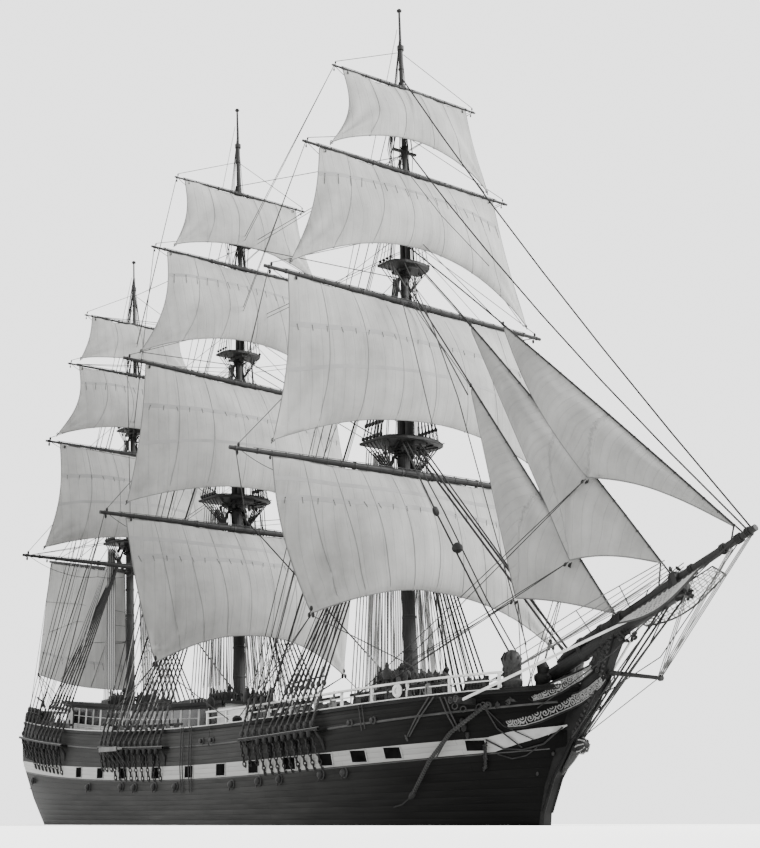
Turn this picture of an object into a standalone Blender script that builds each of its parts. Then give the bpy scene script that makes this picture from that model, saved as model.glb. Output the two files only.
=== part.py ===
"""Three-masted full-rigged ship, built as a 1:2 scale model, in metres.

Frame: +X to the bow, +Y to port, +Z up. The origin is amidships on the waterline.
Each sub-part is one named object. Yards, sails, gaff, rudder, helm wheel and capstan
have their origin on the axis that they turn about.
"""
import math

import bmesh
import bpy
from mathutils import Matrix, Vector

SEAT = 0.0005            # gap between a piece and what carries it
SHIP_NAME = "tall_ship"

# Hull
SHEER_LOW_X = 0.5        # the sheer is lowest here
KEEL_Z = -2.6
STEM_HALF = 0.12         # half thickness of stem, keel and sternpost
TRANSOM_X = -14.2        # transom at the waterline
TRANSOM_RAKE = -0.08     # metres aft for each metre up
BULWARK_THICK = 0.14
BULWARK_HEIGHT = 0.62    # rail above the deck
RAIL_Z = 2.77            # top of the planksheer amidships
RAIL_AFT, RAIL_FORE = 0.0042, 0.0026
RAIL_HALF = 3.0
RAIL_BOW_X = 13.78
HULL_STATIONS = 26
DECK_AFT_X, DECK_FORE_X = -14.25, 12.9
DECK_STATIONS = 24

# columns: height amidships, sheer aft, sheer forward, half breadth, bow end x,
# start of the bow curve x, bow power, half breadth at the transom, stern power
HULL_LEVELS = (
    (KEEL_Z, 0.0, 0.0, STEM_HALF, 10.9, -1.0, 1.5, STEM_HALF, 1.5),
    (-2.40, 0.0, 0.0, 1.55, 11.2, -2.0, 1.4, 0.14, 1.3),
    (-1.70, 0.0, 0.0, 2.62, 11.65, -1.5, 1.7, 0.25, 1.6),
    (-0.80, 0.0, 0.0, 2.95, 12.0, -1.0, 2.0, 0.65, 1.9),
    (0.0, 0.0, 0.0, 3.04, 12.2, 0.0, 2.6, 1.3, 2.2),
    (0.70, 0.0012, 0.0014, 3.08, 12.45, 0.4, 2.9, 1.75, 2.2),
    (1.30, 0.0028, 0.0033, 3.09, 12.92, 1.0, 3.3, 2.08, 2.1),
    (1.69, 0.0027, 0.0029, 3.09, 13.12, 1.2, 3.6, 2.2, 2.0),
    (2.08, 0.0042, 0.0037, 3.07, 13.42, 1.5, 4.0, 2.24, 2.0),
    (RAIL_Z - 0.07, RAIL_AFT, RAIL_FORE, RAIL_HALF, RAIL_BOW_X, 2.0, 4.5, 2.18, 2.0),
)
RAIL_CAP_OVERHANG = 0.05
STERN_CURVE_X = -3.0     # the stern's narrowing starts here

# Channels, the boards that spread the shrouds. columns: aft x, fore x
CHANNELS = ((-14.0, -9.0), (-5.7, -1.1), (3.4, 7.3))
CHANNEL_WIDTH, CHANNEL_THICK = 0.30, 0.06
CATHEAD_X, CATHEAD_OUT, CATHEAD_SIDE = 11.75, 0.5, 0.16

# Masts
FOREMAST_X = 7.0
MAINMAST_X = FOREMAST_X - 9.2
MIZZEN_X = FOREMAST_X - 16.94
RAKE_LEVEL = 2.6         # the mast positions are stated at this height
TOPMAST_AHEAD = 0.33     # topmast axis ahead of the lower mast's
TOPGALLANT_AHEAD = 0.22  # topgallant axis ahead of the topmast's
MAST_SIDES = 16
TRUSS_PIN_RADIUS = 0.035
LOWER_TAPER = (0.9, 0.72)           # at the hounds and at the cap
TOPMAST_TAPER = (0.88, 0.72)        # at the crosstrees and at the cap
# at the small crosstrees, above them, at the pole's collar, above it, under the truck, truck
TOPGALLANT_TAPER = (0.92, 0.90, 0.82, 0.50, 0.40, 0.59, 0.56)
TRUCK_HEIGHT = 0.06
POLE_LENGTH = {"fore": 1.35, "main": 1.50, "mizzen": 1.20}   # thin pole at the masthead
TOP_WIDTH = {"fore": 1.05, "main": 1.05, "mizzen": 0.82}     # half width of the top
CROSSTREES_WIDTH = {"fore": 0.72, "main": 0.70, "mizzen": 0.55}

# columns: name, x, rake as a slope, top height, cap height, crosstrees height,
# upper cap height, small crosstrees height, truck height, radii of lower, top, topgallant
MASTS = (
    ("fore", FOREMAST_X, 0.0491, 10.45, 11.75, 15.75, 16.95, 19.42, 24.25, 0.20, 0.13, 0.085),
    ("main", MAINMAST_X, 0.0804, 10.40, 11.70, 15.45, 16.65, 19.50, 24.88, 0.20, 0.13, 0.085),
    ("mizzen", MIZZEN_X, 0.1066, 10.10, 11.20, 14.44, 15.40, 17.70, 21.51, 0.16, 0.105, 0.07),
)

# columns: mast, yard, height, length, angle at rest in degrees, radius amidships
YARDS = (
    ("fore", "course", 9.46, 11.88, -1.1, 0.115),
    ("fore", "topsail", 14.53, 10.38, 4.0, 0.10),
    ("fore", "topgallant", 18.62, 7.69, 2.3, 0.072),
    ("fore", "royal", 21.42, 5.39, 1.1, 0.055),
    ("main", "course", 9.33, 10.51, 0.9, 0.115),
    ("main", "topsail", 14.38, 9.50, 6.1, 0.10),
    ("main", "topgallant", 18.56, 7.24, 2.5, 0.072),
    ("main", "royal", 21.41, 5.32, 1.2, 0.055),
    ("mizzen", "course", 9.15, 9.06, 2.3, 0.095),
    ("mizzen", "topsail", 13.48, 7.43, 2.4, 0.08),
    ("mizzen", "topgallant", 16.62, 5.78, 1.4, 0.06),
    ("mizzen", "royal", 18.72, 4.41, 1.7, 0.05),
)
YARD_SIDES_RESOLUTION = 4
YARD_TIP_RATIO = 0.48
# how far each yard's centre stands ahead of the axis that it swings about
YARD_AHEAD = {"course": 0.28, "topsail": 0.30, "topgallant": 0.22, "royal": 0.19}
COLLAR_HEIGHT = 0.16
COLLAR_EASE = 1.0 / math.cos(math.pi / MAST_SIDES)   # a faceted ring clears a faceted mast
RUNNING_EASE = 0.0003

# Square sails. columns: mast, sail, yard below, head half width, starboard clew half
# width and height, port clew half width and height, foot arch, leech hollow to starboard and to port, belly
SQUARE_SAILS = (
    ("fore", "course", None, 4.66, 3.60, 5.30, 4.50, 4.95, 0.92, -0.25, 0.50, 1.00),
    ("fore", "topsail", "course", 4.40, 4.75, 9.78, 4.80, 9.75, 1.05, 0.22, 0.10, 1.00),
    ("fore", "topgallant", "topsail", 3.25, 4.44, 14.80, 4.41, 14.76, 1.28, 0.25, 0.09, 0.80),
    ("fore", "royal", "topgallant", 2.30, 2.97, 18.75, 2.86, 18.75, 0.76, 0.40, 0.08, 0.50),
    ("main", "course", None, 4.35, 3.40, 4.80, 3.60, 4.80, 1.00, -0.10, 0.0, 0.95),
    ("main", "topsail", "course", 3.93, 4.43, 9.72, 4.43, 9.70, 0.90, 0.14, 0.14, 0.95),
    ("main", "topgallant", "topsail", 3.01, 4.22, 14.68, 4.22, 14.66, 1.05, 0.38, 0.38, 0.75),
    ("main", "royal", "topgallant", 2.27, 2.83, 18.76, 2.83, 18.76, 0.47, 0.25, 0.12, 0.50),
    ("mizzen", "topsail", "course", 3.15, 3.80, 9.48, 3.80, 9.48, 0.66, 0.27, 0.17, 0.75),
    ("mizzen", "topgallant", "topsail", 2.43, 3.35, 13.75, 3.35, 13.75, 0.62, 0.38, 0.20, 0.60),
    ("mizzen", "royal", "topgallant", 1.88, 2.45, 16.85, 2.30, 16.85, 0.30, 0.10, 0.20, 0.42),
)
SAIL_THICK = 0.018
SAIL_COLUMNS, SAIL_ROWS = 8, 6

# Bowsprit and jibboom
BOOM_TIP = Vector((19.31, 0.0, 6.13))
BOOM_SLOPE = 0.352
BOWSPRIT_RADIUS, JIBBOOM_RADIUS = 0.16, 0.105
BOWSPRIT_HEEL_X, BOWSPRIT_CAP_X = 12.6, 17.1
JIBBOOM_HEEL_X = 14.6

# Stays from the masts, lower end at the bow or at the mast ahead
STAY_RADIUS = 0.022
# columns: name, which spar carries its upper end, upper height, x of its foot on the jibboom,
# how far its middle bows ahead of the straight line
HEAD_STAYS = (
    ("fore_topmast_stay", "topmast", 15.42, 15.05, 0.0),
    ("jib_stay", "crosstrees", 15.76, 16.92, 0.14),
    ("outer_jib_stay", "topgallant", 16.40, 19.00, 0.08),
    ("topgallant_stay", "topgallant", 19.62, 19.12, -0.28),
    ("royal_stay", "topgallant", 21.90, 19.22, -0.22),
)
STAY_STEPS = 6

FORE_STAY_FOOT_X = 13.45
MAIN_STAY_FOOT_Z, MIZZEN_STAY_FOOT_Z = 3.2, 3.9
# Poles from the catheads to the bowsprit: distance out from the side, x on the bowsprit
HEAD_BOOM_OUT, HEAD_BOOM_FORE_X = 0.32, 15.80

# Headsails. columns: name, stay, head x, tack x, clew x, clew y, clew z, roach
HEADSAILS = (
    ("staysail", "fore_topmast_stay", 9.80, 14.92, 11.77, -0.30, 5.47, 0.0),
    ("jib", "jib_stay", 9.75, 16.49, 13.79, -0.30, 6.15, 0.0),
    ("outer_jib", "outer_jib_stay", 11.15, 18.72, 14.43, -0.25, 8.07, 0.30),
)
HEADSAIL_BELLY, HEADSAIL_FOOT_ARCH = 0.38, 0.08

# Driver, the fore-and-aft sail on the mizzen mast
DRIVER_SWING = math.radians(13.0)   # to starboard at rest
GAFF_Z, GAFF_PEAK_Z, GAFF_LENGTH = 9.08, 9.99, 4.95
GAFF_RADIUS, GAFF_TAPER = 0.075, 0.6
DRIVER_TACK_Z, DRIVER_CLEW_Z, DRIVER_FOOT = 4.72, 5.62, 5.55
DRIVER_BELLY = 0.35

# Rudder
RUDDER_STOCK = 0.07
RUDDER_TOP, RUDDER_HEEL, RUDDER_CHORD = 1.05, -2.5, 0.85

# Deck fittings
HOUSE_AFT_X, HOUSE_FORE_X, HOUSE_HALF, HOUSE_HEIGHT = -12.5, -0.75, 1.40, 1.52
FORE_HOUSE_AFT_X, FORE_HOUSE_FORE_X, FORE_HOUSE_HALF, FORE_HOUSE_HEIGHT = 2.0, 4.6, 1.05, 1.0
ROOF_THICK, ROOF_OVERHANG = 0.07, 0.10
WHEEL_X, WHEEL_RADIUS, WHEEL_HEIGHT = -13.25, 0.38, 0.62
CAPSTAN_X = 9.6

# Open rail above the planksheer: aft x, fore x, height, spacing of the stanchions
RAIL_FROM_X, RAIL_TO_X, OPEN_RAIL_HEIGHT, STANCHION_STEP = 0.9, 12.35, 0.44, 1.145
RAIL_INSET = 0.07


def clear_scene():
    for item in list(bpy.data.objects):
        bpy.data.objects.remove(item, do_unlink=True)


def new_collection(name):
    group = bpy.data.collections.new(name)
    bpy.context.scene.collection.children.link(group)
    return group


clear_scene()
SHIP = new_collection(SHIP_NAME)
CUTTERS = new_collection("cutters")


def material(name, color, roughness=0.7, metallic=0.0):
    found = bpy.data.materials.get(name)
    if found:
        return found
    made = bpy.data.materials.new(name)
    made.use_nodes = True
    shader = made.node_tree.nodes["Principled BSDF"]
    shader.inputs["Base Color"].default_value = (*color, 1.0)
    shader.inputs["Roughness"].default_value = roughness
    shader.inputs["Metallic"].default_value = metallic
    return made


HULL_PAINT = material("hull_paint", (0.045, 0.045, 0.048), 0.55)
WHITE_PAINT = material("white_paint", (0.72, 0.72, 0.70), 0.5)
SPAR_WOOD = material("spar_wood", (0.09, 0.085, 0.08), 0.6)
CANVAS = material("canvas", (0.62, 0.62, 0.60), 0.9)
TARRED_ROPE = material("tarred_rope", (0.06, 0.06, 0.06), 0.85)
BLACK_IRON = material("black_iron", (0.05, 0.05, 0.055), 0.5, 0.6)


def link(item, group=SHIP):
    group.objects.link(item)
    return item


def mesh_object(name, bm, paint, group=SHIP):
    bmesh.ops.recalc_face_normals(bm, faces=bm.faces)
    mesh = bpy.data.meshes.new(name)
    bm.to_mesh(mesh)
    bm.free()
    mesh.materials.append(paint)
    return link(bpy.data.objects.new(name, mesh), group)


def smooth(item, angle=40):
    item.data.shade_smooth()
    item.data.set_sharp_from_angle(angle=math.radians(angle))
    return item


def as_mesh(item):
    """Swap a curve, or an object with modifiers, for its plain welded mesh."""
    graph = bpy.context.evaluated_depsgraph_get()
    graph.update()
    mesh = bpy.data.meshes.new_from_object(item.evaluated_get(graph))
    bm = bmesh.new()
    bm.from_mesh(mesh)
    bmesh.ops.remove_doubles(bm, verts=bm.verts, dist=0.00002)
    bm.to_mesh(mesh)
    bm.free()
    name, place = item.name, item.matrix_world.copy()
    groups = list(item.users_collection)
    bpy.data.objects.remove(item, do_unlink=True)
    made = bpy.data.objects.new(name, mesh)
    made.matrix_world = place
    groups[0].objects.link(made)
    return made


def combine(base, tools, operation="UNION"):
    """Boolean each tool into the base and return the base as a plain mesh."""
    for tool in tools:
        step = base.modifiers.new("boolean", "BOOLEAN")
        step.operation = operation
        step.object = tool
        step.solver = "EXACT"
    bpy.context.view_layer.update()
    made = as_mesh(base)
    for tool in tools:
        bpy.data.objects.remove(tool, do_unlink=True)
    return made


def tool_group(item):
    for group in list(item.users_collection):
        group.objects.unlink(item)
    CUTTERS.objects.link(item)
    item.hide_render = True
    item.display_type = "WIRE"
    return item


def tube(name, points, radii, paint, resolution=YARD_SIDES_RESOLUTION):
    """A round spar or rope through the points, with its own radius at each."""
    curve = bpy.data.curves.new(name, "CURVE")
    curve.dimensions = "3D"
    curve.bevel_depth = 1.0
    curve.bevel_resolution = resolution
    curve.use_fill_caps = True
    curve.twist_mode = "Z_UP"
    line = curve.splines.new("POLY")
    line.points.add(len(points) - 1)
    for knot, place, radius in zip(line.points, points, radii):
        knot.co = (*place, 1.0)
        knot.radius = radius
    curve.materials.append(paint)
    return as_mesh(link(bpy.data.objects.new(name, curve)))


def cylinder(name, start, end, radius, paint, sides=MAST_SIDES, end_radius=None):
    axis = Vector(end) - Vector(start)
    bm = bmesh.new()
    bmesh.ops.create_cone(bm, cap_ends=True, segments=sides, radius1=radius,
                          radius2=radius if end_radius is None else end_radius, depth=axis.length)
    turn = Vector((0, 0, 1)).rotation_difference(axis).to_matrix().to_4x4()
    bm.transform(Matrix.Translation((Vector(start) + Vector(end)) / 2) @ turn)
    return mesh_object(name, bm, paint)


def box(name, low, high, paint):
    bm = bmesh.new()
    bmesh.ops.create_cube(bm, size=1.0)
    size = Vector(high) - Vector(low)
    bm.transform(Matrix.Translation((Vector(low) + Vector(high)) / 2) @ Matrix.Diagonal((*size, 1.0)))
    return mesh_object(name, bm, paint)


def loft(name, rings, paint):
    """A closed body through rings of equally many points."""
    bm = bmesh.new()
    rows = [[bm.verts.new(place) for place in ring] for ring in rings]
    count = len(rows[0])
    for near, far in zip(rows, rows[1:]):
        for index in range(count):
            after = (index + 1) % count
            bm.faces.new((near[index], near[after], far[after], far[index]))
    bm.faces.new(rows[0])
    bm.faces.new(rows[-1])
    return mesh_object(name, bm, paint)


def turned(name, profile, place, paint, sides=MAST_SIDES):
    """A vertical turned piece. The profile runs from the top down: radius, height."""
    bm = bmesh.new()
    knots = [bm.verts.new((radius, 0.0, height)) for radius, height in profile]
    for upper, lower in zip(knots, knots[1:]):
        bm.edges.new((upper, lower))
    mesh = bpy.data.meshes.new(name)
    bm.to_mesh(mesh)
    bm.free()
    mesh.materials.append(paint)
    item = link(bpy.data.objects.new(name, mesh))
    item.location = place
    screw = item.modifiers.new("screw", "SCREW")
    screw.steps = sides
    screw.render_steps = sides
    screw.use_merge_vertices = True
    screw.merge_threshold = 0.0001
    return item


def set_origin(item, place):
    """Move the object's origin onto its joint's axis without moving its shape."""
    shift = Matrix.Translation(-Vector(place))
    item.data.transform(shift @ item.matrix_world)
    item.matrix_world = Matrix.Translation(Vector(place))
    return item


def sheer(x, amidships, aft, fore):
    away = x - SHEER_LOW_X
    return amidships + (aft if away < 0 else fore) * away * away


def transom_x(z):
    return TRANSOM_X + TRANSOM_RAKE * z


def half_breadth(x, level):
    _, _, _, widest, bow_x, bow_start, bow_power, stern_half, stern_power = level
    if x > bow_start:
        part = min(1.0, (x - bow_start) / (bow_x - bow_start))
        return STEM_HALF + (widest - STEM_HALF) * (1 - part ** bow_power)
    if x < STERN_CURVE_X:
        end = transom_x(level[0])
        part = min(1.0, (STERN_CURVE_X - x) / (STERN_CURVE_X - end))
        return stern_half + (widest - stern_half) * (1 - part ** stern_power)
    return widest


def rail_z(x):
    return sheer(x, RAIL_Z, RAIL_AFT, RAIL_FORE)


def hull_shares():
    shares = [station / HULL_STATIONS for station in range(HULL_STATIONS + 1)]
    return [share - 0.12 * math.sin(2 * math.pi * share) / (2 * math.pi) for share in shares]


def planksheer_z(x):
    """Height of the hull's top, straight between its stations as the solid is."""
    aft = transom_x(rail_z(TRANSOM_X))
    knots = [aft + (RAIL_BOW_X - aft) * share for share in hull_shares()]
    for near, far in zip(knots, knots[1:]):
        if x <= far:
            return rail_z(near) + (rail_z(far) - rail_z(near)) * (x - near) / (far - near)
    return rail_z(x)


def deck_z(x):
    """Deck height, straight between the deck's stations as the solid is."""
    step = (DECK_FORE_X - DECK_AFT_X) / DECK_STATIONS
    index = min(DECK_STATIONS - 1, max(0, int((x - DECK_AFT_X) / step)))
    near = DECK_AFT_X + index * step
    low = rail_z(near) - BULWARK_HEIGHT
    high = rail_z(near + step) - BULWARK_HEIGHT
    return low + (high - low) * (x - near) / step


def deck_stations(aft, fore):
    step = (DECK_FORE_X - DECK_AFT_X) / DECK_STATIONS
    inner = [DECK_AFT_X + index * step for index in range(DECK_STATIONS + 1)]
    return [aft] + [x for x in inner if aft + 0.01 < x < fore - 0.01] + [fore]


def cathead_box(side, grow):
    """Lower and upper corners of a cathead beam."""
    half = half_breadth(CATHEAD_X, HULL_LEVELS[-1])
    inner, outer = side * (half - 0.10), side * (half + CATHEAD_OUT + grow)
    low_z = rail_z(CATHEAD_X) - 0.30
    reach = CATHEAD_SIDE / 2 + grow
    return ((CATHEAD_X - reach, min(inner, outer), low_z - grow),
            (CATHEAD_X + reach, max(inner, outer), low_z + CATHEAD_SIDE + grow))


def build_hull():
    """The planked hull: a loft on the level lines, hollowed down to the deck."""
    bm = bmesh.new()
    columns = []
    for station, share in enumerate(hull_shares()):
        column = []
        for level in HULL_LEVELS:
            stern_z = sheer(TRANSOM_X, level[0], level[1], level[2])
            aft = transom_x(stern_z)
            x = aft + (level[4] - aft) * share
            z = sheer(x, level[0], level[1], level[2])
            if station == 0:
                x = transom_x(z)
            y = half_breadth(x, level)
            column.append((x, y, z))
        x, y, z = column[-1]
        column.append((x, y + RAIL_CAP_OVERHANG, z + 0.012))
        column.append((x, y + RAIL_CAP_OVERHANG, z + 0.07))
        columns.append(column)
    sides = []
    for column in columns:
        port = [bm.verts.new((x, y, z)) for x, y, z in column]
        starboard = [bm.verts.new((x, -y, z)) for x, y, z in column]
        sides.append((port, starboard))
    last = len(sides[0][0]) - 1
    for (port, starboard), (port_next, starboard_next) in zip(sides, sides[1:]):
        for level in range(last):
            bm.faces.new((port[level], port[level + 1], port_next[level + 1], port_next[level]))
            bm.faces.new((starboard[level], starboard_next[level],
                          starboard_next[level + 1], starboard[level + 1]))
        bm.faces.new((port[0], port_next[0], starboard_next[0], starboard[0]))
        bm.faces.new((port[last], starboard[last], starboard_next[last], port_next[last]))
    for port, starboard in (sides[0], sides[-1]):
        for level in range(last):
            bm.faces.new((port[level], starboard[level], starboard[level + 1], port[level + 1]))
    hull = mesh_object("hull", bm, HULL_PAINT)

    rings = []
    for x in deck_stations(DECK_AFT_X, DECK_FORE_X):
        half = half_breadth(x, HULL_LEVELS[-1]) - BULWARK_THICK
        half = max(0.2, half)
        top = rail_z(x) + 0.5
        rings.append([(x, half, deck_z(x)), (x, half, top), (x, -half, top), (x, -half, deck_z(x))])
    well = tool_group(loft("deck_well", rings, WHITE_PAINT))
    hull = combine(hull, [well], "DIFFERENCE")

    added = []
    for aft, fore in CHANNELS:
        for side in (1, -1):
            rings = []
            for part in range(5):
                x = aft + (fore - aft) * part / 4
                z = sheer(x, 2.20, RAIL_AFT, 0.0037)
                inner = half_breadth(x, HULL_LEVELS[-1]) - 0.08
                outer = inner + 0.12 + CHANNEL_WIDTH
                rings.append([(x, side * inner, z), (x, side * outer, z),
                              (x, side * outer, z + CHANNEL_THICK), (x, side * inner, z + CHANNEL_THICK)])
            added.append(tool_group(loft("channel", rings, HULL_PAINT)))
    for side in (1, -1):
        added.append(tool_group(box("cathead", *cathead_box(side, 0.0), HULL_PAINT)))
    stand_z = deck_z(WHEEL_X) - 0.05
    added.append(tool_group(box("helm_stand", (WHEEL_X - 0.26, -0.10, stand_z),
                                (WHEEL_X - 0.06, 0.10, deck_z(WHEEL_X) + WHEEL_HEIGHT + 0.10), HULL_PAINT)))
    return combine(hull, added)


def plate(name, outline, thick, paint):
    """A flat piece in the XZ plane, centred on the ship's centreline."""
    rings = []
    for y in (-thick / 2, thick / 2):
        rings.append([(x, y, z) for x, z in outline])
    return loft(name, rings, paint)


def boom_z(x):
    return BOOM_TIP.z - BOOM_SLOPE * (BOOM_TIP.x - x)


BOOM_DIRECTION = Vector((1.0, 0.0, BOOM_SLOPE)).normalized()
BOOM_NORMAL = Vector((-BOOM_SLOPE, 0.0, 1.0)).normalized()


def bowsprit_point(x):
    """A point on the bowsprit's axis, which lies under the jibboom's."""
    on_boom = Vector((x, 0.0, boom_z(x)))
    return on_boom - BOOM_NORMAL * (BOWSPRIT_RADIUS + JIBBOOM_RADIUS + SEAT)


def cutwater_plate(name):
    """Knee of the head: the thin timber ahead of the stem, up to the bowsprit."""
    rabbet = [(level[4], sheer(level[4], level[0], level[1], level[2])) for level in HULL_LEVELS]
    aft = [(x + 2 * SEAT, z) for x, z in rabbet]
    top = bowsprit_point(14.2) - BOOM_NORMAL * (BOWSPRIT_RADIUS + SEAT)
    head = bowsprit_point(15.0) - BOOM_NORMAL * (BOWSPRIT_RADIUS + SEAT)
    last_x, last_z = aft[-1]
    aft[-1] = (last_x + RAIL_CAP_OVERHANG, last_z)
    inner_top = (last_x + RAIL_CAP_OVERHANG + 2 * SEAT, last_z + 0.07)
    front = [(head.x, head.z), (14.60, 3.35), (13.84, 2.37), (13.22, 1.57), (12.81, 1.09), (12.42, 0.30),
             (12.28, -0.80), (11.90, -1.75), (11.35, -2.45), (10.95, KEEL_Z)]
    start = (top.x, top.z)
    return plate(name, aft + [inner_top, start] + front, 2 * STEM_HALF, HULL_PAINT)


def build_rudder():
    """A stock on the transom's centre with the blade behind it."""
    gap = RUDDER_STOCK + 0.0008
    lean = math.cos(math.atan(TRANSOM_RAKE))

    def stock(z):
        return Vector((transom_x(z) - gap / lean, 0.0, z))

    post = cylinder("rudder", stock(RUDDER_HEEL), stock(RUDDER_TOP), RUDDER_STOCK, HULL_PAINT)
    outline = []
    for z, chord in ((RUDDER_HEEL + 0.02, 1.0), (-1.2, 1.0), (-0.2, 0.85), (0.35, 0.55),
                     (RUDDER_TOP - 0.05, 0.42)):
        outline.append((stock(z).x - RUDDER_CHORD * chord, z))
    for z in (RUDDER_TOP - 0.05, RUDDER_HEEL + 0.02):
        outline.append((stock(z).x, z))
    blade = tool_group(plate("rudder_blade", outline, 0.10, HULL_PAINT))
    return set_origin(combine(post, [blade]), stock(0.0))


def lower_axis(mast, z):
    return Vector((mast[1] - mast[2] * (z - RAKE_LEVEL), 0.0, z))


def topmast_axis(mast, z):
    return lower_axis(mast, z) + Vector((TOPMAST_AHEAD, 0, 0))


def topgallant_axis(mast, z):
    return lower_axis(mast, z) + Vector((TOPMAST_AHEAD + TOPGALLANT_AHEAD, 0, 0))


def mast_direction(mast):
    return Vector((-mast[2], 0.0, 1.0)).normalized()


def radius_at(rings, z):
    """Radius of a tapered mast at a height, from its rings' heights and radii."""
    heights, radii = rings
    for low, high, near, far in zip(heights, heights[1:], radii, radii[1:]):
        if z <= high:
            return near + (far - near) * (z - low) / (high - low)
    return radii[-1]


def collar_inner(rings, z):
    """Inner radius of a faceted ring that turns about a faceted mast."""
    return radius_at(rings, z - COLLAR_HEIGHT / 2) * COLLAR_EASE + RUNNING_EASE


def round_spar(name, places, radii, paint, sides=MAST_SIDES):
    """A straight spar on the centreline: rings square to its axis, closed at both ends."""
    lean = (places[-1] - places[0]).normalized()
    across = Vector((lean.z, 0.0, -lean.x))
    rings = []
    for place, radius in zip(places, radii):
        ring = []
        for side in range(sides):
            angle = 2 * math.pi * side / sides
            sideways = Vector((0, radius * math.sin(angle), 0))
            ring.append(place + across * (radius * math.cos(angle)) + sideways)
        rings.append(ring)
    return loft(name, rings, paint)


def turned_spar(name, axis, heights, radii, paint):
    return round_spar(name, [axis(z) for z in heights], radii, paint)


def platform(name, centre, half_length, half_width, thick, nose, paint):
    """A top: a flat board, square aft and rounded ahead."""
    outline = [(-half_length, -half_width), (half_length * 0.25, -half_width)]
    steps = 6
    for step in range(1, steps):
        angle = -math.pi / 2 + math.pi * step / steps
        outline.append((half_length * 0.25 + nose * math.cos(angle), half_width * math.sin(angle)))
    outline += [(half_length * 0.25, half_width), (-half_length, half_width)]
    rings = []
    for z in (-thick / 2, thick / 2):
        rings.append([(centre.x + x, y, centre.z + z) for x, y in outline])
    return tool_group(loft(name, rings, paint))


def lower_mast_rings(mast, grow):
    """Heights and radii of a lower mast's rings, made larger by grow. It stands on the deck."""
    radius = mast[9]
    foot = lower_axis(mast, RAKE_LEVEL)
    foot_z = max(deck_z(foot.x - radius), deck_z(foot.x + radius)) + radius * mast[2] + SEAT
    return (foot_z, mast[3] - 0.4, mast[4]), [radius * taper + grow for taper in (1.0, *LOWER_TAPER)]


def trestle_box(mast, grow):
    """Lower and upper corners of the trestle trees under a top."""
    top_z = mast[3]
    centre = (lower_axis(mast, top_z) + topmast_axis(mast, top_z)) / 2
    reach = 0.62 * TOP_WIDTH[mast[0]] + grow
    low = (centre.x - reach, -0.20 - grow, top_z - 0.17 - grow)
    return low, (centre.x + reach, 0.20 + grow, top_z - 0.02 + grow)


def topmast_rings(mast, grow):
    """Heights and radii of a topmast's rings, made larger by grow."""
    return (mast[3] - 0.28, mast[5], mast[6]), [mast[10] * taper + grow for taper in (1.0, *TOPMAST_TAPER)]


def topgallant_rings(mast, grow):
    """Heights and radii of a topgallant mast's rings, made larger by grow."""
    cross_z, small_z, truck_z, radius = mast[5], mast[7], mast[8], mast[11]
    pole_z, cap_z = truck_z - POLE_LENGTH[mast[0]], truck_z - TRUCK_HEIGHT
    heights = (cross_z - 0.22, small_z, small_z + 0.15, pole_z, pole_z + 0.03, cap_z, cap_z + 0.005, truck_z)
    return heights, [radius + grow] + [radius * taper + grow for taper in TOPGALLANT_TAPER]


def crosstrees_centre(mast):
    return (topmast_axis(mast, mast[5]) + topgallant_axis(mast, mast[5])) / 2 + Vector((0, 0, 0.01))


def crosstrees_plate(mast, grow):
    """The round platform on the crosstrees, made larger by grow."""
    reach = CROSSTREES_WIDTH[mast[0]]
    return platform("crosstrees_plate", crosstrees_centre(mast), 0.55 * reach + grow, reach + grow,
                    0.08 + 2 * grow, 0.60 * reach + grow, SPAR_WOOD)


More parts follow.
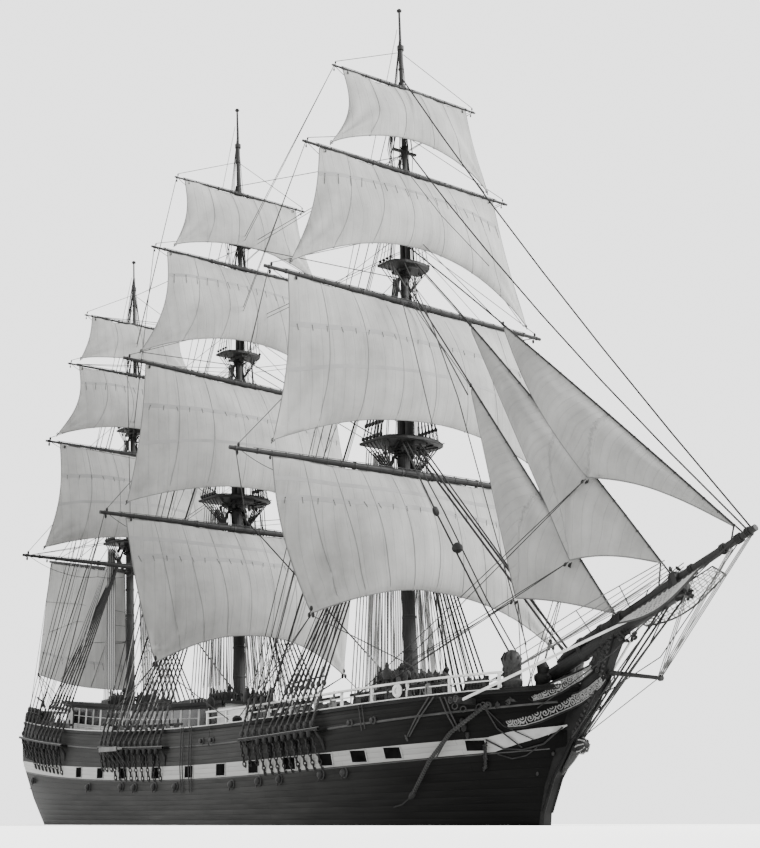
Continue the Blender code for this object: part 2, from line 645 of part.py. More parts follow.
def build_mast(mast):
    name, _, _, top_z, cap_z, cross_z, upper_cap_z, small_z, truck_z, low_r, top_r, gallant_r = mast
    direction = mast_direction(mast)

    heights, radii = lower_mast_rings(mast, 0.0)
    lower = turned_spar(name + "_lower_mast", lambda z: lower_axis(mast, z), heights, radii, SPAR_WOOD)
    width = TOP_WIDTH[name]
    centre = (lower_axis(mast, top_z) + topmast_axis(mast, top_z)) / 2
    tools = [platform("top", centre, 0.75 * width, width, 0.07, 0.62 * width, SPAR_WOOD)]
    tools.append(tool_group(box("trestle", *trestle_box(mast, 0.0), SPAR_WOOD)))
    tools.append(tool_group(box("cap", (lower_axis(mast, cap_z).x - low_r - 0.04, -0.19, cap_z - 0.16),
                                (topmast_axis(mast, cap_z).x + top_r + 0.10, 0.19, cap_z - 0.02), SPAR_WOOD)))
    yard_z = [row[2] for row in YARDS if row[0] == name and row[1] == "course"][0]
    pin_low = topmast_axis(mast, yard_z - 0.12)
    pin_high = topmast_axis(mast, yard_z + 0.17)
    tools.append(tool_group(cylinder("truss_pin", pin_low, pin_high, TRUSS_PIN_RADIUS, SPAR_WOOD)))
    arm_z = yard_z + 0.18
    tools.append(tool_group(box("truss_arm", (lower_axis(mast, arm_z).x, -0.05, arm_z - 0.08),
                                (topmast_axis(mast, arm_z).x + 0.045, 0.05, arm_z + 0.03), SPAR_WOOD)))
    lower = combine(lower, tools)

    holes = []
    hole_low, hole_high = topmast_axis(mast, top_z - 0.45), topmast_axis(mast, cap_z + 0.2)
    holes.append(tool_group(cylinder("hole", hole_low, hole_high, top_r + SEAT * 1.6, SPAR_WOOD)))
    lower = combine(lower, holes, "DIFFERENCE")

    heights, radii = topmast_rings(mast, 0.0)
    upper = turned_spar(name + "_topmast", lambda z: topmast_axis(mast, z), heights, radii, SPAR_WOOD)
    tools = []
    centre = crosstrees_centre(mast)
    tools.append(crosstrees_plate(mast, 0.0))
    fid = topmast_axis(mast, top_z)
    tools.append(tool_group(box("fid", fid + Vector((-top_r * 0.5, -top_r - 0.07, 0.035 + SEAT)),
                                fid + Vector((top_r * 0.5, top_r + 0.07, 0.09)), SPAR_WOOD)))
    tools.append(tool_group(box("crosstree_board", (centre.x - 0.45, -0.15, cross_z - 0.12),
                                (centre.x + 0.38, 0.15, cross_z - 0.02), SPAR_WOOD)))
    cap_aft = topmast_axis(mast, upper_cap_z).x - top_r - 0.03
    cap_fore = topgallant_axis(mast, upper_cap_z).x + gallant_r + 0.07
    tools.append(tool_group(box("upper_cap", (cap_aft, -0.13, upper_cap_z - 0.12),
                                (cap_fore, 0.13, upper_cap_z - 0.01), SPAR_WOOD)))
    upper = combine(upper, tools)
    hole_low, hole_high = topgallant_axis(mast, cross_z - 0.4), topgallant_axis(mast, upper_cap_z + 0.2)
    hole = tool_group(cylinder("hole", hole_low, hole_high, gallant_r + SEAT * 1.6, SPAR_WOOD))
    upper = combine(upper, [hole], "DIFFERENCE")

    heights, radii = topgallant_rings(mast, 0.0)
    gallant = turned_spar(name + "_topgallant_mast", lambda z: topgallant_axis(mast, z), heights, radii,
                          SPAR_WOOD)
    tools = []
    place = topgallant_axis(mast, small_z)
    tools.append(tool_group(box("small_crosstree", (place.x - 0.05, -0.42, small_z - 0.03),
                                (place.x + 0.05, 0.42, small_z + 0.03), SPAR_WOOD)))
    pole = topgallant_axis(mast, mast[8] - POLE_LENGTH[name])
    tools.append(tool_group(cylinder("pole_collar", pole - direction * 0.07, pole + direction * 0.07,
                                     gallant_r * 1.25, SPAR_WOOD)))
    fid = topgallant_axis(mast, cross_z)
    tools.append(tool_group(box("fid", fid + Vector((-0.03, -gallant_r - 0.06, 0.05 + SEAT)),
                                fid + Vector((0.03, gallant_r + 0.06, 0.09)), SPAR_WOOD)))
    gallant = combine(gallant, tools)
    return [lower, upper, gallant]


def mast_named(name):
    return [mast for mast in MASTS if mast[0] == name][0]


def yard_row(mast_name, yard_name):
    return [row for row in YARDS if row[0] == mast_name and row[1] == yard_name][0]


def swing_axis(mast, yard_name):
    return topmast_axis if yard_name in ("course", "topsail") else topgallant_axis


def yard_frame(mast_name, yard_name):
    """Centre, sideways direction and forward direction of a yard at rest."""
    mast = mast_named(mast_name)
    row = yard_row(mast_name, yard_name)
    angle = math.radians(row[4])
    ahead = Vector((math.cos(angle), math.sin(angle), 0.0))
    port = Vector((-math.sin(angle), math.cos(angle), 0.0))
    pivot = swing_axis(mast, yard_name)(mast, row[2])
    return pivot + ahead * YARD_AHEAD[yard_name], port, ahead


def yard_radius(row, along):
    """Radius at a distance from the middle of a yard that tapers to its ends."""
    share = min(1.0, abs(along) / (row[3] / 2))
    return row[5] * (1 - (1 - YARD_TIP_RATIO) * share)


def collar(name, axis, z, inner, outer, height, direction):
    """A ring about a mast: the outer body and the cutter for its hole."""
    ring = tool_group(cylinder(name, axis(z) - direction * height / 2, axis(z) + direction * height / 2,
                               outer, BLACK_IRON))
    hole = tool_group(cylinder(name + "_hole", axis(z) - direction * height, axis(z) + direction * height,
                               inner, BLACK_IRON))
    return ring, hole


def build_yard(row):
    mast_name, yard_name, z, length, _, radius = row
    mast = mast_named(mast_name)
    centre, port, ahead = yard_frame(mast_name, yard_name)
    shares = (-1.0, 0.0, 1.0)
    points = [centre + port * (share * length / 2) for share in shares]
    radii = [yard_radius(row, share * length / 2) for share in shares]
    name = "%s_%s_yard" % (mast_name, yard_name)
    yard = tube(name, points, radii, SPAR_WOOD)
    axis_of = swing_axis(mast, yard_name)

    def axis(height):
        return axis_of(mast, height)

    if yard_name == "course":
        inner = TRUSS_PIN_RADIUS * COLLAR_EASE + RUNNING_EASE
        outer = inner + 0.045
    else:
        rings = topmast_rings(mast, 0.0) if yard_name == "topsail" else topgallant_rings(mast, 0.0)
        inner = collar_inner(rings, z)
        outer = inner + 0.035
    ring, hole = collar("parrel", axis, z, inner, outer, COLLAR_HEIGHT, mast_direction(mast))
    start = axis(z) + ahead * (inner + 0.02)
    arm = cylinder("arm", start, centre, min(0.05, radius * 0.8), BLACK_IRON, 8)
    yard = combine(yard, [ring, tool_group(arm)])
    yard = combine(yard, [hole], "DIFFERENCE")
    return set_origin(yard, axis(z))


def grid_sheet(name, place, columns, rows, paint, keep_clear):
    """A thin curved sheet whose points come from place(across, down), both 0 to 1.

    keep_clear moves a point of the finished cloth off the spar or stay that it is bent to.
    """
    bm = bmesh.new()
    bmesh.ops.create_grid(bm, x_segments=columns, y_segments=rows, size=0.5)
    for vert in bm.verts:
        across = vert.co.x + 0.5
        down = 0.5 - vert.co.y
        vert.co = place(min(1.0, max(0.0, across)), min(1.0, max(0.0, down)))
    mesh = bpy.data.meshes.new(name)
    bm.to_mesh(mesh)
    bm.free()
    mesh.materials.append(paint)
    item = link(bpy.data.objects.new(name, mesh))
    shell = item.modifiers.new("cloth", "SOLIDIFY")
    shell.thickness = SAIL_THICK
    shell.offset = 0.0
    shell.use_even_offset = False
    cloth = as_mesh(item)
    for vert in cloth.data.vertices:
        vert.co = keep_clear(vert.co)
    return cloth


def billow(across, down):
    """How full the sail is, 0 at the yard and leeches."""
    side = 2 * across - 1
    fullness = 0.62 * math.sin(math.pi * down) ** 0.8 + 0.48 * down
    return (1 - abs(side) ** 2.4) * fullness


def build_square_sail(row):
    mast_name, sail_name, below, head, star_half, star_z, port_half, port_z = row[:8]
    arch, star_hollow, port_hollow, belly = row[8:]
    centre, port, ahead = yard_frame(mast_name, sail_name)
    spar = yard_row(mast_name, sail_name)
    mast = mast_named(mast_name)
    if below:
        low_centre, low_port, low_ahead = yard_frame(mast_name, below)
        foot_drop = 0.18
        foot_centre = low_centre + low_ahead * foot_drop
    else:
        low_port, low_ahead = port, ahead
        foot_centre = centre + Vector((-mast[2] * (star_z - centre.z), 0, 0)) + ahead * 0.1

    def place(across, down):
        side = 2 * across - 1
        head_side = side * head
        head_z = centre.z - yard_radius(spar, head_side) - SEAT
        top = centre + port * head_side
        top.z = head_z
        half, clew_z = (port_half, port_z) if side > 0 else (star_half, star_z)
        low = foot_centre + low_port * (side * half)
        low.z = star_z + (port_z - star_z) * across
        mix = top.lerp(low, down)
        mix.z += arch * (1 - side * side) * down ** 1.6
        pull = (port_hollow if side > 0 else star_hollow) * math.sin(math.pi * down) * side
        mix -= port * pull
        mix += ahead.lerp(low_ahead, down) * (belly * billow(across, down))
        return mix

    def under_yard(spot):
        limit = centre.z - yard_radius(spar, (spot - centre).dot(port)) - SEAT
        return Vector((spot.x, spot.y, limit if spot.z > limit - SAIL_THICK else spot.z))

    name = "%s_%s_sail" % (mast_name, sail_name)
    sail = grid_sheet(name, place, SAIL_COLUMNS, SAIL_ROWS, CANVAS, under_yard)
    axis = swing_axis(mast, sail_name)(mast, spar[2])
    return set_origin(sail, axis)


def stay_ends(row):
    """Upper end on the mast's axis, lower end on the jibboom's axis."""
    _, spar, upper_z, lower_x, _ = row
    mast = mast_named("fore")
    axis = topmast_axis if spar == "topmast" else topgallant_axis
    upper = axis(mast, upper_z)
    if spar == "crosstrees":
        upper = crosstrees_centre(mast) + Vector((CROSSTREES_WIDTH["fore"] * 0.64, 0, 0))
    return upper, Vector((lower_x, 0.0, boom_z(lower_x)))


def stay_point(row, share):
    """A point on a stay, from its foot, 0, to its upper end, 1."""
    upper, lower = stay_ends(row)
    course = (upper - lower).normalized()
    ahead = Vector((course.z, 0.0, -course.x))
    return lower.lerp(upper, share) + ahead * (row[4] * 4 * share * (1 - share))


def build_boom_spars():
    """Bowsprit with its cap, and the jibboom that lies on it."""
    heel, cap = bowsprit_point(BOWSPRIT_HEEL_X), bowsprit_point(BOWSPRIT_CAP_X)
    bowsprit = cylinder("bowsprit", heel, cap, BOWSPRIT_RADIUS, SPAR_WOOD)
    jib_heel = Vector((JIBBOOM_HEEL_X, 0, boom_z(JIBBOOM_HEEL_X)))
    jib_cap = Vector((BOWSPRIT_CAP_X, 0, boom_z(BOWSPRIT_CAP_X)))
    places, radii = jibboom_rings(0.0)
    jibboom = round_spar("jibboom", places, radii, SPAR_WOOD)
    middle = (cap + jib_cap) / 2
    block = box("cap_block", (-0.07, -0.19, -0.31), (0.07, 0.19, 0.26), BLACK_IRON)
    tilt = Matrix.Rotation(-math.atan(BOOM_SLOPE), 4, "Y")
    block.data.transform(Matrix.Translation(middle - BOOM_DIRECTION * 0.08) @ tilt)
    bowsprit = combine(bowsprit, [tool_group(block)])
    hole = round_spar("cap_hole", (jib_heel, BOOM_TIP), [JIBBOOM_RADIUS + SEAT * 1.2] * 2, BLACK_IRON)
    return [combine(bowsprit, [tool_group(hole)], "DIFFERENCE"), jibboom]


def jibboom_rings(grow):
    """Ring centres and radii of the jibboom, made larger by grow."""
    heel = Vector((JIBBOOM_HEEL_X, 0, boom_z(JIBBOOM_HEEL_X)))
    cap = Vector((BOWSPRIT_CAP_X + 0.1, 0, boom_z(BOWSPRIT_CAP_X + 0.1)))
    places = (heel, cap, BOOM_TIP)
    return places, [radius + grow for radius in (JIBBOOM_RADIUS, JIBBOOM_RADIUS, JIBBOOM_RADIUS * 0.72)]


def build_martingale():
    """The spar that spreads the guys under the jibboom, seated on the knee of the head."""
    root, knob = Vector((14.45, 0, 3.465)), Vector((16.27, 0, 3.19))
    direction = (knob - root).normalized()
    spar = tube("martingale_boom", (root, knob, knob + direction * 0.02, knob + direction * 0.10),
                (0.06, 0.045, 0.075, 0.06), SPAR_WOOD)
    knee = tool_group(cutwater_plate("fit"))
    knee.location.x = 2 * SEAT
    return combine(spar, [knee], "DIFFERENCE")


def rope(name, points, radius=STAY_RADIUS):
    return tube(name, points, [radius] * len(points), TARRED_ROPE, 2)


def build_stays():
    """Taut stays, cut to fit the mast and the jibboom that they end on."""
    mast = mast_named("fore")
    for row in HEAD_STAYS:
        stay = rope(row[0], [stay_point(row, step / STAY_STEPS) for step in range(STAY_STEPS + 1)])
        if row[1] == "crosstrees":
            spar = crosstrees_plate(mast, SEAT)
        elif row[1] == "topmast":
            heights, radii = topmast_rings(mast, SEAT)
            spar = turned_spar("fit", lambda z: topmast_axis(mast, z), heights, radii, SPAR_WOOD)
        else:
            heights, radii = topgallant_rings(mast, SEAT)
            spar = turned_spar("fit", lambda z: topgallant_axis(mast, z), heights, radii, SPAR_WOOD)
        places, radii = jibboom_rings(SEAT)
        boom = round_spar("fit", places, radii, SPAR_WOOD)
        combine(stay, [tool_group(spar), tool_group(boom)], "DIFFERENCE")


def headsail_place(row):
    """The sail's shape, and a function that keeps its luff clear of the stay."""
    name, stay_name, head_x, tack_x, clew_x, clew_y, clew_z, roach = row
    stay = [stay for stay in HEAD_STAYS if stay[0] == stay_name][0]
    upper, lower = stay_ends(stay)
    direction = (upper - lower).normalized()
    below = Vector((-direction.z, 0.0, direction.x))
    reach = STAY_RADIUS + SEAT

    def share_at(x):
        return (x - lower.x) / (upper.x - lower.x)

    head = stay_point(stay, share_at(head_x)) + below * reach
    clew = Vector((clew_x, clew_y, clew_z))
    peak = head + (clew - head).normalized() * 0.10 + below * 0.05

    def place(across, down):
        share = share_at(head_x) + (share_at(tack_x) - share_at(head_x)) * down
        luff = stay_point(stay, share) + below * reach
        leech = peak.lerp(clew, down)
        leech.x -= roach * math.sin(math.pi * down)
        mix = luff.lerp(leech, across)
        full = math.sin(math.pi * across) ** 0.9 * math.sin(math.pi * min(1.0, 0.25 + 0.65 * down))
        mix.y -= HEADSAIL_BELLY * full * min(1.0, down * 1.6)
        mix.z += HEADSAIL_FOOT_ARCH * math.sin(math.pi * across) * down ** 3
        return mix

    def clear_of_stay(spot):
        along = (spot - lower).dot(direction) / (upper - lower).length
        short = reach - (spot - rope_line(stay, along)).dot(below)
        return spot + below * short if short > -SAIL_THICK else spot

    return place, clear_of_stay


def rope_line(row, share):
    """A point on the stay as the solid has it, straight between its steps."""
    step = min(STAY_STEPS - 1, max(0, int(share * STAY_STEPS)))
    near, far = stay_point(row, step / STAY_STEPS), stay_point(row, (step + 1) / STAY_STEPS)
    return near.lerp(far, share * STAY_STEPS - step)


def build_headsail(row):
    place, clear_of_stay = headsail_place(row)
    return grid_sheet(row[0], place, 6, 8, CANVAS, clear_of_stay)


def driver_point(along, z):
    """A point behind the mizzen lower mast, along the driver's rest direction."""
    mast = mast_named("mizzen")
    base = lower_axis(mast, z)
    return base + Vector((-math.cos(DRIVER_SWING), -math.sin(DRIVER_SWING), 0)) * along


def gaff_line(along):
    share = along / GAFF_LENGTH
    z = GAFF_Z + (GAFF_PEAK_Z - GAFF_Z) * share
    return driver_point(along, GAFF_Z) + Vector((0, 0, z - GAFF_Z))


def build_driver():
    mast = mast_named("mizzen")
    inner = collar_inner(lower_mast_rings(mast, 0.0), GAFF_Z)
    heel = inner + 0.02
    start = gaff_line(heel)
    gaff = tube("gaff", (start, gaff_line(GAFF_LENGTH)), (GAFF_RADIUS, GAFF_RADIUS * GAFF_TAPER), SPAR_WOOD)
    ring, hole = collar("jaws", lambda z: lower_axis(mast, z), GAFF_Z, inner, inner + 0.05, COLLAR_HEIGHT,
                        mast_direction(mast))
    gaff = combine(combine(gaff, [ring]), [hole], "DIFFERENCE")
    pivot = lower_axis(mast, GAFF_Z)
    set_origin(gaff, pivot)

    clearance = mast[9] + 0.09
    side = Vector((-math.sin(DRIVER_SWING), math.cos(DRIVER_SWING), 0))

    steep = math.cos(math.atan2(GAFF_PEAK_Z - GAFF_Z, GAFF_LENGTH))

    def gaff_underside(along):
        share = (along - heel) / (GAFF_LENGTH - heel)
        return gaff_line(along).z - GAFF_RADIUS * (1 - (1 - GAFF_TAPER) * share) / steep - SEAT

    def under_gaff(spot):
        away = spot - driver_point(0.0, GAFF_Z)
        limit = gaff_underside(math.hypot(away.x, away.y))
        return Vector((spot.x, spot.y, limit if spot.z > limit - SAIL_THICK else spot.z))

    def place(across, down):
        along_head = clearance + 0.04 + (GAFF_LENGTH - 0.12 - clearance) * across
        head = gaff_line(along_head)
        head.z = gaff_underside(along_head)
        foot_z = DRIVER_TACK_Z + (DRIVER_CLEW_Z - DRIVER_TACK_Z) * across
        foot = driver_point(clearance + (DRIVER_FOOT - clearance) * across, foot_z)
        mix = head.lerp(foot, down)
        full = math.sin(math.pi * across) * math.sin(math.pi * min(1.0, 0.1 + 0.8 * down))
        mix -= side * (DRIVER_BELLY * full * down ** 0.5)
        mix.z -= 0.15 * math.sin(math.pi * across) * down ** 3
        return mix

    sail = set_origin(grid_sheet("driver_sail", place, 8, 6, CANVAS, under_gaff), pivot)
    return [gaff, sail]


def build_house(name, aft, fore, half, height, masts):
    """A deckhouse: walls under a roof with a small overhang, cut for the masts."""
    rings = []
    for x in deck_stations(aft, fore):
        floor = deck_z(x) + SEAT
        eave = floor + height - ROOF_THICK
        wide = half + ROOF_OVERHANG
        side = [(half, floor), (half, eave), (wide, eave), (wide, eave + ROOF_THICK)]
        ring = [(x, y, z) for y, z in side] + [(x, -y, z) for y, z in reversed(side)]
        rings.append(ring)
    house = loft(name, rings, WHITE_PAINT)
    holes = []
    for mast in masts:
        low, high = lower_axis(mast, 0.5), lower_axis(mast, 6.0)
        holes.append(tool_group(cylinder("mast_hole", low, high, mast[9] + 0.015, WHITE_PAINT)))
    return combine(house, holes, "DIFFERENCE") if holes else house


def build_wheel():
    place = Vector((WHEEL_X, 0.0, deck_z(WHEEL_X) + WHEEL_HEIGHT))
    bpy.ops.mesh.primitive_torus_add(location=place, rotation=(0, math.pi / 2, 0),
                                     major_radius=WHEEL_RADIUS * 0.74, minor_radius=0.025,
                                     major_segments=20, minor_segments=6)
    rim = bpy.context.active_object
    rim.name = "helm_wheel"
    for group in list(rim.users_collection):
        group.objects.unlink(rim)
    link(rim)
    rim.data.materials.append(SPAR_WOOD)
    rim = as_mesh(rim)
    back = Vector((-0.06 + SEAT, 0, 0))
    tools = [tool_group(cylinder("hub", place + back, place + Vector((0.06, 0, 0)), 0.07, SPAR_WOOD))]
    for spoke in range(4):
        angle = math.pi * spoke / 4
        reach = Vector((0, math.cos(angle), math.sin(angle))) * WHEEL_RADIUS
        tools.append(tool_group(cylinder("spoke", place - reach, place + reach, 0.016, SPAR_WOOD, 6)))
    return set_origin(combine(rim, tools), place)


def build_capstan():
    radius = 0.24
    base = max(deck_z(CAPSTAN_X - radius), deck_z(CAPSTAN_X + radius)) + SEAT
    profile = ((0.0, 0.52), (0.20, 0.52), (0.23, 0.48), (0.23, 0.40), (0.15, 0.36), (0.13, 0.20),
               (0.17, 0.08), (radius, 0.05), (radius, 0.0), (0.0, 0.0))
    return as_mesh(turned("capstan", profile, (CAPSTAN_X, 0.0, base), SPAR_WOOD))


def build_head_boom(name, side):
    """The straight pole from the bow's side up to the bowsprit."""
    low, high = cathead_box(side, 0.0)
    out = half_breadth(CATHEAD_X, HULL_LEVELS[-1]) + HEAD_BOOM_OUT
    lower = Vector((CATHEAD_X, side * out, (low[2] + high[2]) / 2))
    upper = bowsprit_point(HEAD_BOOM_FORE_X) + Vector((0, side * BOWSPRIT_RADIUS * 0.5, 0))
    pole = tube(name, (lower, upper), (0.035, 0.03), WHITE_PAINT, 2)
    return combine(pole, [tool_group(box("fit", *cathead_box(side, SEAT), HULL_PAINT)), bowsprit_cutter()],
                   "DIFFERENCE")


def build_open_rail(name, side):
    """Two rails on stanchions that stand on the planksheer."""
    stations = []
    x = RAIL_FROM_X
    while x < RAIL_TO_X + 0.01:
        stations.append(x)
        x += STANCHION_STEP

    def line(x):
        return side * (half_breadth(x, HULL_LEVELS[-1]) - RAIL_INSET)

    def bar(label, lift, thick, wide):
        rings = []
        for x in stations:
            z = rail_z(x) + lift
            rings.append([(x, line(x) - wide, z), (x, line(x) + wide, z), (x, line(x) + wide, z + thick),
                          (x, line(x) - wide, z + thick)])
        return loft(label, rings, WHITE_PAINT)

    rail = bar(name, OPEN_RAIL_HEIGHT - 0.05, 0.05, 0.05)
    tools = [tool_group(bar("mid_rail", OPEN_RAIL_HEIGHT * 0.5, 0.03, 0.02))]
    for x in stations:
        inset = 0.031 if x == stations[0] else (-0.031 if x == stations[-1] else 0.0)
        foot = planksheer_z(x + inset + 0.03) + SEAT
        middle = Vector((x + inset, line(x + inset), 0))
        tools.append(tool_group(box("stanchion", middle + Vector((-0.03, -0.03, foot)),
                                    middle + Vector((0.03, 0.03, rail_z(x) + OPEN_RAIL_HEIGHT - 0.02)),
                                    WHITE_PAINT)))
    return combine(rail, tools)


def bowsprit_cutter():
    ends = (bowsprit_point(BOWSPRIT_HEEL_X), bowsprit_point(BOWSPRIT_CAP_X))
    return tool_group(round_spar("fit", ends, [BOWSPRIT_RADIUS + SEAT] * 2, SPAR_WOOD))


def lower_mast_cutter(mast):
    heights, radii = lower_mast_rings(mast, SEAT)
    return tool_group(turned_spar("fit", lambda z: lower_axis(mast, z), heights, radii, SPAR_WOOD))


def build_lower_stays():
    """Fore stay to the bowsprit, main and mizzen stays to the mast ahead."""
    fore, main_mast, mizzen = MASTS
    trestle_end = Vector((trestle_box(fore, 0.0)[1][0] - 0.03, 0.0, fore[3] - 0.09))
    stay = rope("fore_stay", (bowsprit_point(FORE_STAY_FOOT_X), trestle_end))
    trestle = tool_group(box("fit", *trestle_box(fore, SEAT), SPAR_WOOD))
    combine(stay, [trestle, bowsprit_cutter()], "DIFFERENCE")
    for name, mast, ahead, foot_z in (("main_stay", main_mast, fore, MAIN_STAY_FOOT_Z),
                                      ("mizzen_stay", mizzen, main_mast, MIZZEN_STAY_FOOT_Z)):
        stay = rope(name, (lower_axis(ahead, foot_z), lower_axis(mast, mast[3] - 0.27)))
        combine(stay, [lower_mast_cutter(mast), lower_mast_cutter(ahead)], "DIFFERENCE")


def main():
    build_hull()
    cutwater_plate("cutwater")
    build_rudder()
    for mast in MASTS:
        build_mast(mast)
    for row in YARDS:
        build_yard(row)
    for row in SQUARE_SAILS:
        build_square_sail(row)
    build_boom_spars()
    build_martingale()
    build_stays()
    build_lower_stays()
    for row in HEADSAILS:
        build_headsail(row)
    build_driver()
    build_house("deckhouse", HOUSE_AFT_X, HOUSE_FORE_X, HOUSE_HALF, HOUSE_HEIGHT, MASTS[1:])
    build_house("fore_deckhouse", FORE_HOUSE_AFT_X, FORE_HOUSE_FORE_X, FORE_HOUSE_HALF, FORE_HOUSE_HEIGHT, ())
    build_wheel()
    build_capstan()
    build_head_boom("head_boom_starboard", -1)
    build_head_boom("head_boom_port", 1)
    build_open_rail("rail_starboard", -1)
    build_open_rail("rail_port", 1)


main()
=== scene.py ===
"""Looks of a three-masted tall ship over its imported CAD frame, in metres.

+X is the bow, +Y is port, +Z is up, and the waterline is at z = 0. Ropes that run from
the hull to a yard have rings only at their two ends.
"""
import random
from math import atan2, copysign, cos, exp, hypot, pi, radians, sin

import bpy
from mathutils import Matrix, Vector


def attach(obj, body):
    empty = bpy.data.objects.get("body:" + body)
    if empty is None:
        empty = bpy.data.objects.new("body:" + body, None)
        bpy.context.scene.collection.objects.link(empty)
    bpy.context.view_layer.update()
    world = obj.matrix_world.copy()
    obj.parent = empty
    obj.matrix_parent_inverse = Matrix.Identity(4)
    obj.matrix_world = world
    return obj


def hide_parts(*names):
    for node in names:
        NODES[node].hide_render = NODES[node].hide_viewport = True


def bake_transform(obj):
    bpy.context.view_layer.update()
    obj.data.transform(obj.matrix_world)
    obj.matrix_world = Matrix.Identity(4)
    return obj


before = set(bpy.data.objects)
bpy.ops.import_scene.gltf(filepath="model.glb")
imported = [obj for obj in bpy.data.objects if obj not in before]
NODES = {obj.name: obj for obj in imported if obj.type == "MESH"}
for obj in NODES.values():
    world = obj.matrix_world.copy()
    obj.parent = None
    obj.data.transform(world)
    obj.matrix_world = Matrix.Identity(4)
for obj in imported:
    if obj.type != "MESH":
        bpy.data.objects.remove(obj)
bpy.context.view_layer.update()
RANDOM = random.Random(7)
X, Y, Z = Vector((1.0, 0.0, 0.0)), Vector((0.0, 1.0, 0.0)), Vector((0.0, 0.0, 1.0))

# Hull form, as in the CAD source. columns: height amidships, sheer aft, sheer forward,
# half breadth, bow end x, start of the bow curve x, bow power, transom half breadth, stern power
LEVELS = (
    (-2.6, 0.0, 0.0, 0.12, 10.9, -1.0, 1.5, 0.12, 1.5),
    (-2.40, 0.0, 0.0, 1.55, 11.2, -2.0, 1.4, 0.14, 1.3),
    (-1.70, 0.0, 0.0, 2.62, 11.65, -1.5, 1.7, 0.25, 1.6),
    (-0.80, 0.0, 0.0, 2.95, 12.0, -1.0, 2.0, 0.65, 1.9),
    (0.0, 0.0, 0.0, 3.04, 12.2, 0.0, 2.6, 1.3, 2.2),
    (0.70, 0.0012, 0.0014, 3.08, 12.45, 0.4, 2.9, 1.75, 2.2),
    (1.30, 0.0028, 0.0033, 3.09, 12.92, 1.0, 3.3, 2.08, 2.1),
    (1.69, 0.0027, 0.0029, 3.09, 13.12, 1.2, 3.6, 2.2, 2.0),
    (2.08, 0.0042, 0.0037, 3.07, 13.42, 1.5, 4.0, 2.24, 2.0),
    (2.70, 0.0042, 0.0026, 3.0, 13.78, 2.0, 4.5, 2.18, 2.0),
)
STEM_HALF, TRANSOM_X, TRANSOM_RAKE, STERN_CURVE_X, SHEER_LOW_X = 0.12, -14.2, -0.08, -3.0, 0.5
BAND_LOW, BAND_HIGH = LEVELS[6], LEVELS[7]
CHANNEL_OUT = 0.31
# levels of the rail, the channels and the two wales, as height amidships, sheer aft and sheer forward
RAIL_LEVEL, CHANNEL_LEVEL = (2.77, 0.0042, 0.0026), (2.20, 0.0042, 0.0037)
WALES = ((2.23, 0.0042, 0.0037), (1.27, 0.0028, 0.0033))
BULWARK, LINING_INSET, DECK_INSET = 0.62, 0.148, 0.147
PLANK_WIDTH, ROOF_PLANK_WIDTH, STRAKE_WIDTH, PORT_HALF = 0.095, 0.12, 0.135, 0.25
PLANK_LENGTH, BUTT_SHIFT, BUTT_WIDTH = 3.4, 1.73, 0.012
HOUSE_HEIGHT, FORE_HOUSE_HEIGHT = 1.52, 1.0
DECK_AFT_X, DECK_FORE_X, DECK_STATIONS = -14.25, 12.9, 24
PORT_X = (-7.76, -5.89, -4.17, -1.90, 0.22, 2.09, 3.86, 5.59, 7.06, 8.23, 9.28, 11.37)

MAST_STEP_Z, SPAR_AHEAD = 2.6, (0.0, 0.33, 0.55)  # the spars of a mast stand ahead of each other
# columns: name, x, rake, top, cap, crosstrees, upper cap, small crosstrees, truck, radii of the three masts
MASTS = {
    "fore": (7.0, 0.0491, 10.45, 11.75, 15.75, 16.95, 19.42, 24.25, 0.20, 0.13, 0.085),
    "main": (-2.2, 0.0804, 10.40, 11.70, 15.45, 16.65, 19.50, 24.88, 0.20, 0.13, 0.085),
    "mizzen": (-9.94, 0.1066, 10.10, 11.20, 14.44, 15.40, 17.70, 21.51, 0.16, 0.105, 0.07),
}
# mast and yard: height, length, angle at rest in degrees, radius amidships
YARDS = {
    ("fore", "course"): (9.46, 11.88, -1.1, 0.115),
    ("fore", "topsail"): (14.53, 10.38, 4.0, 0.10),
    ("fore", "topgallant"): (18.62, 7.69, 2.3, 0.072),
    ("fore", "royal"): (21.42, 5.39, 1.1, 0.055),
    ("main", "course"): (9.33, 10.51, 0.9, 0.115),
    ("main", "topsail"): (14.38, 9.50, 6.1, 0.10),
    ("main", "topgallant"): (18.56, 7.24, 2.5, 0.072),
    ("main", "royal"): (21.41, 5.32, 1.2, 0.055),
    ("mizzen", "course"): (9.15, 9.06, 2.3, 0.095),
    ("mizzen", "topsail"): (13.48, 7.43, 2.4, 0.08),
    ("mizzen", "topgallant"): (16.62, 5.78, 1.4, 0.06),
    ("mizzen", "royal"): (18.72, 4.41, 1.7, 0.05),
}
YARD_AHEAD = {"course": 0.28, "topsail": 0.30, "topgallant": 0.22, "royal": 0.19}
YARD_TIP_RATIO, SAIL_BELOW_YARD = 0.48, 0.016
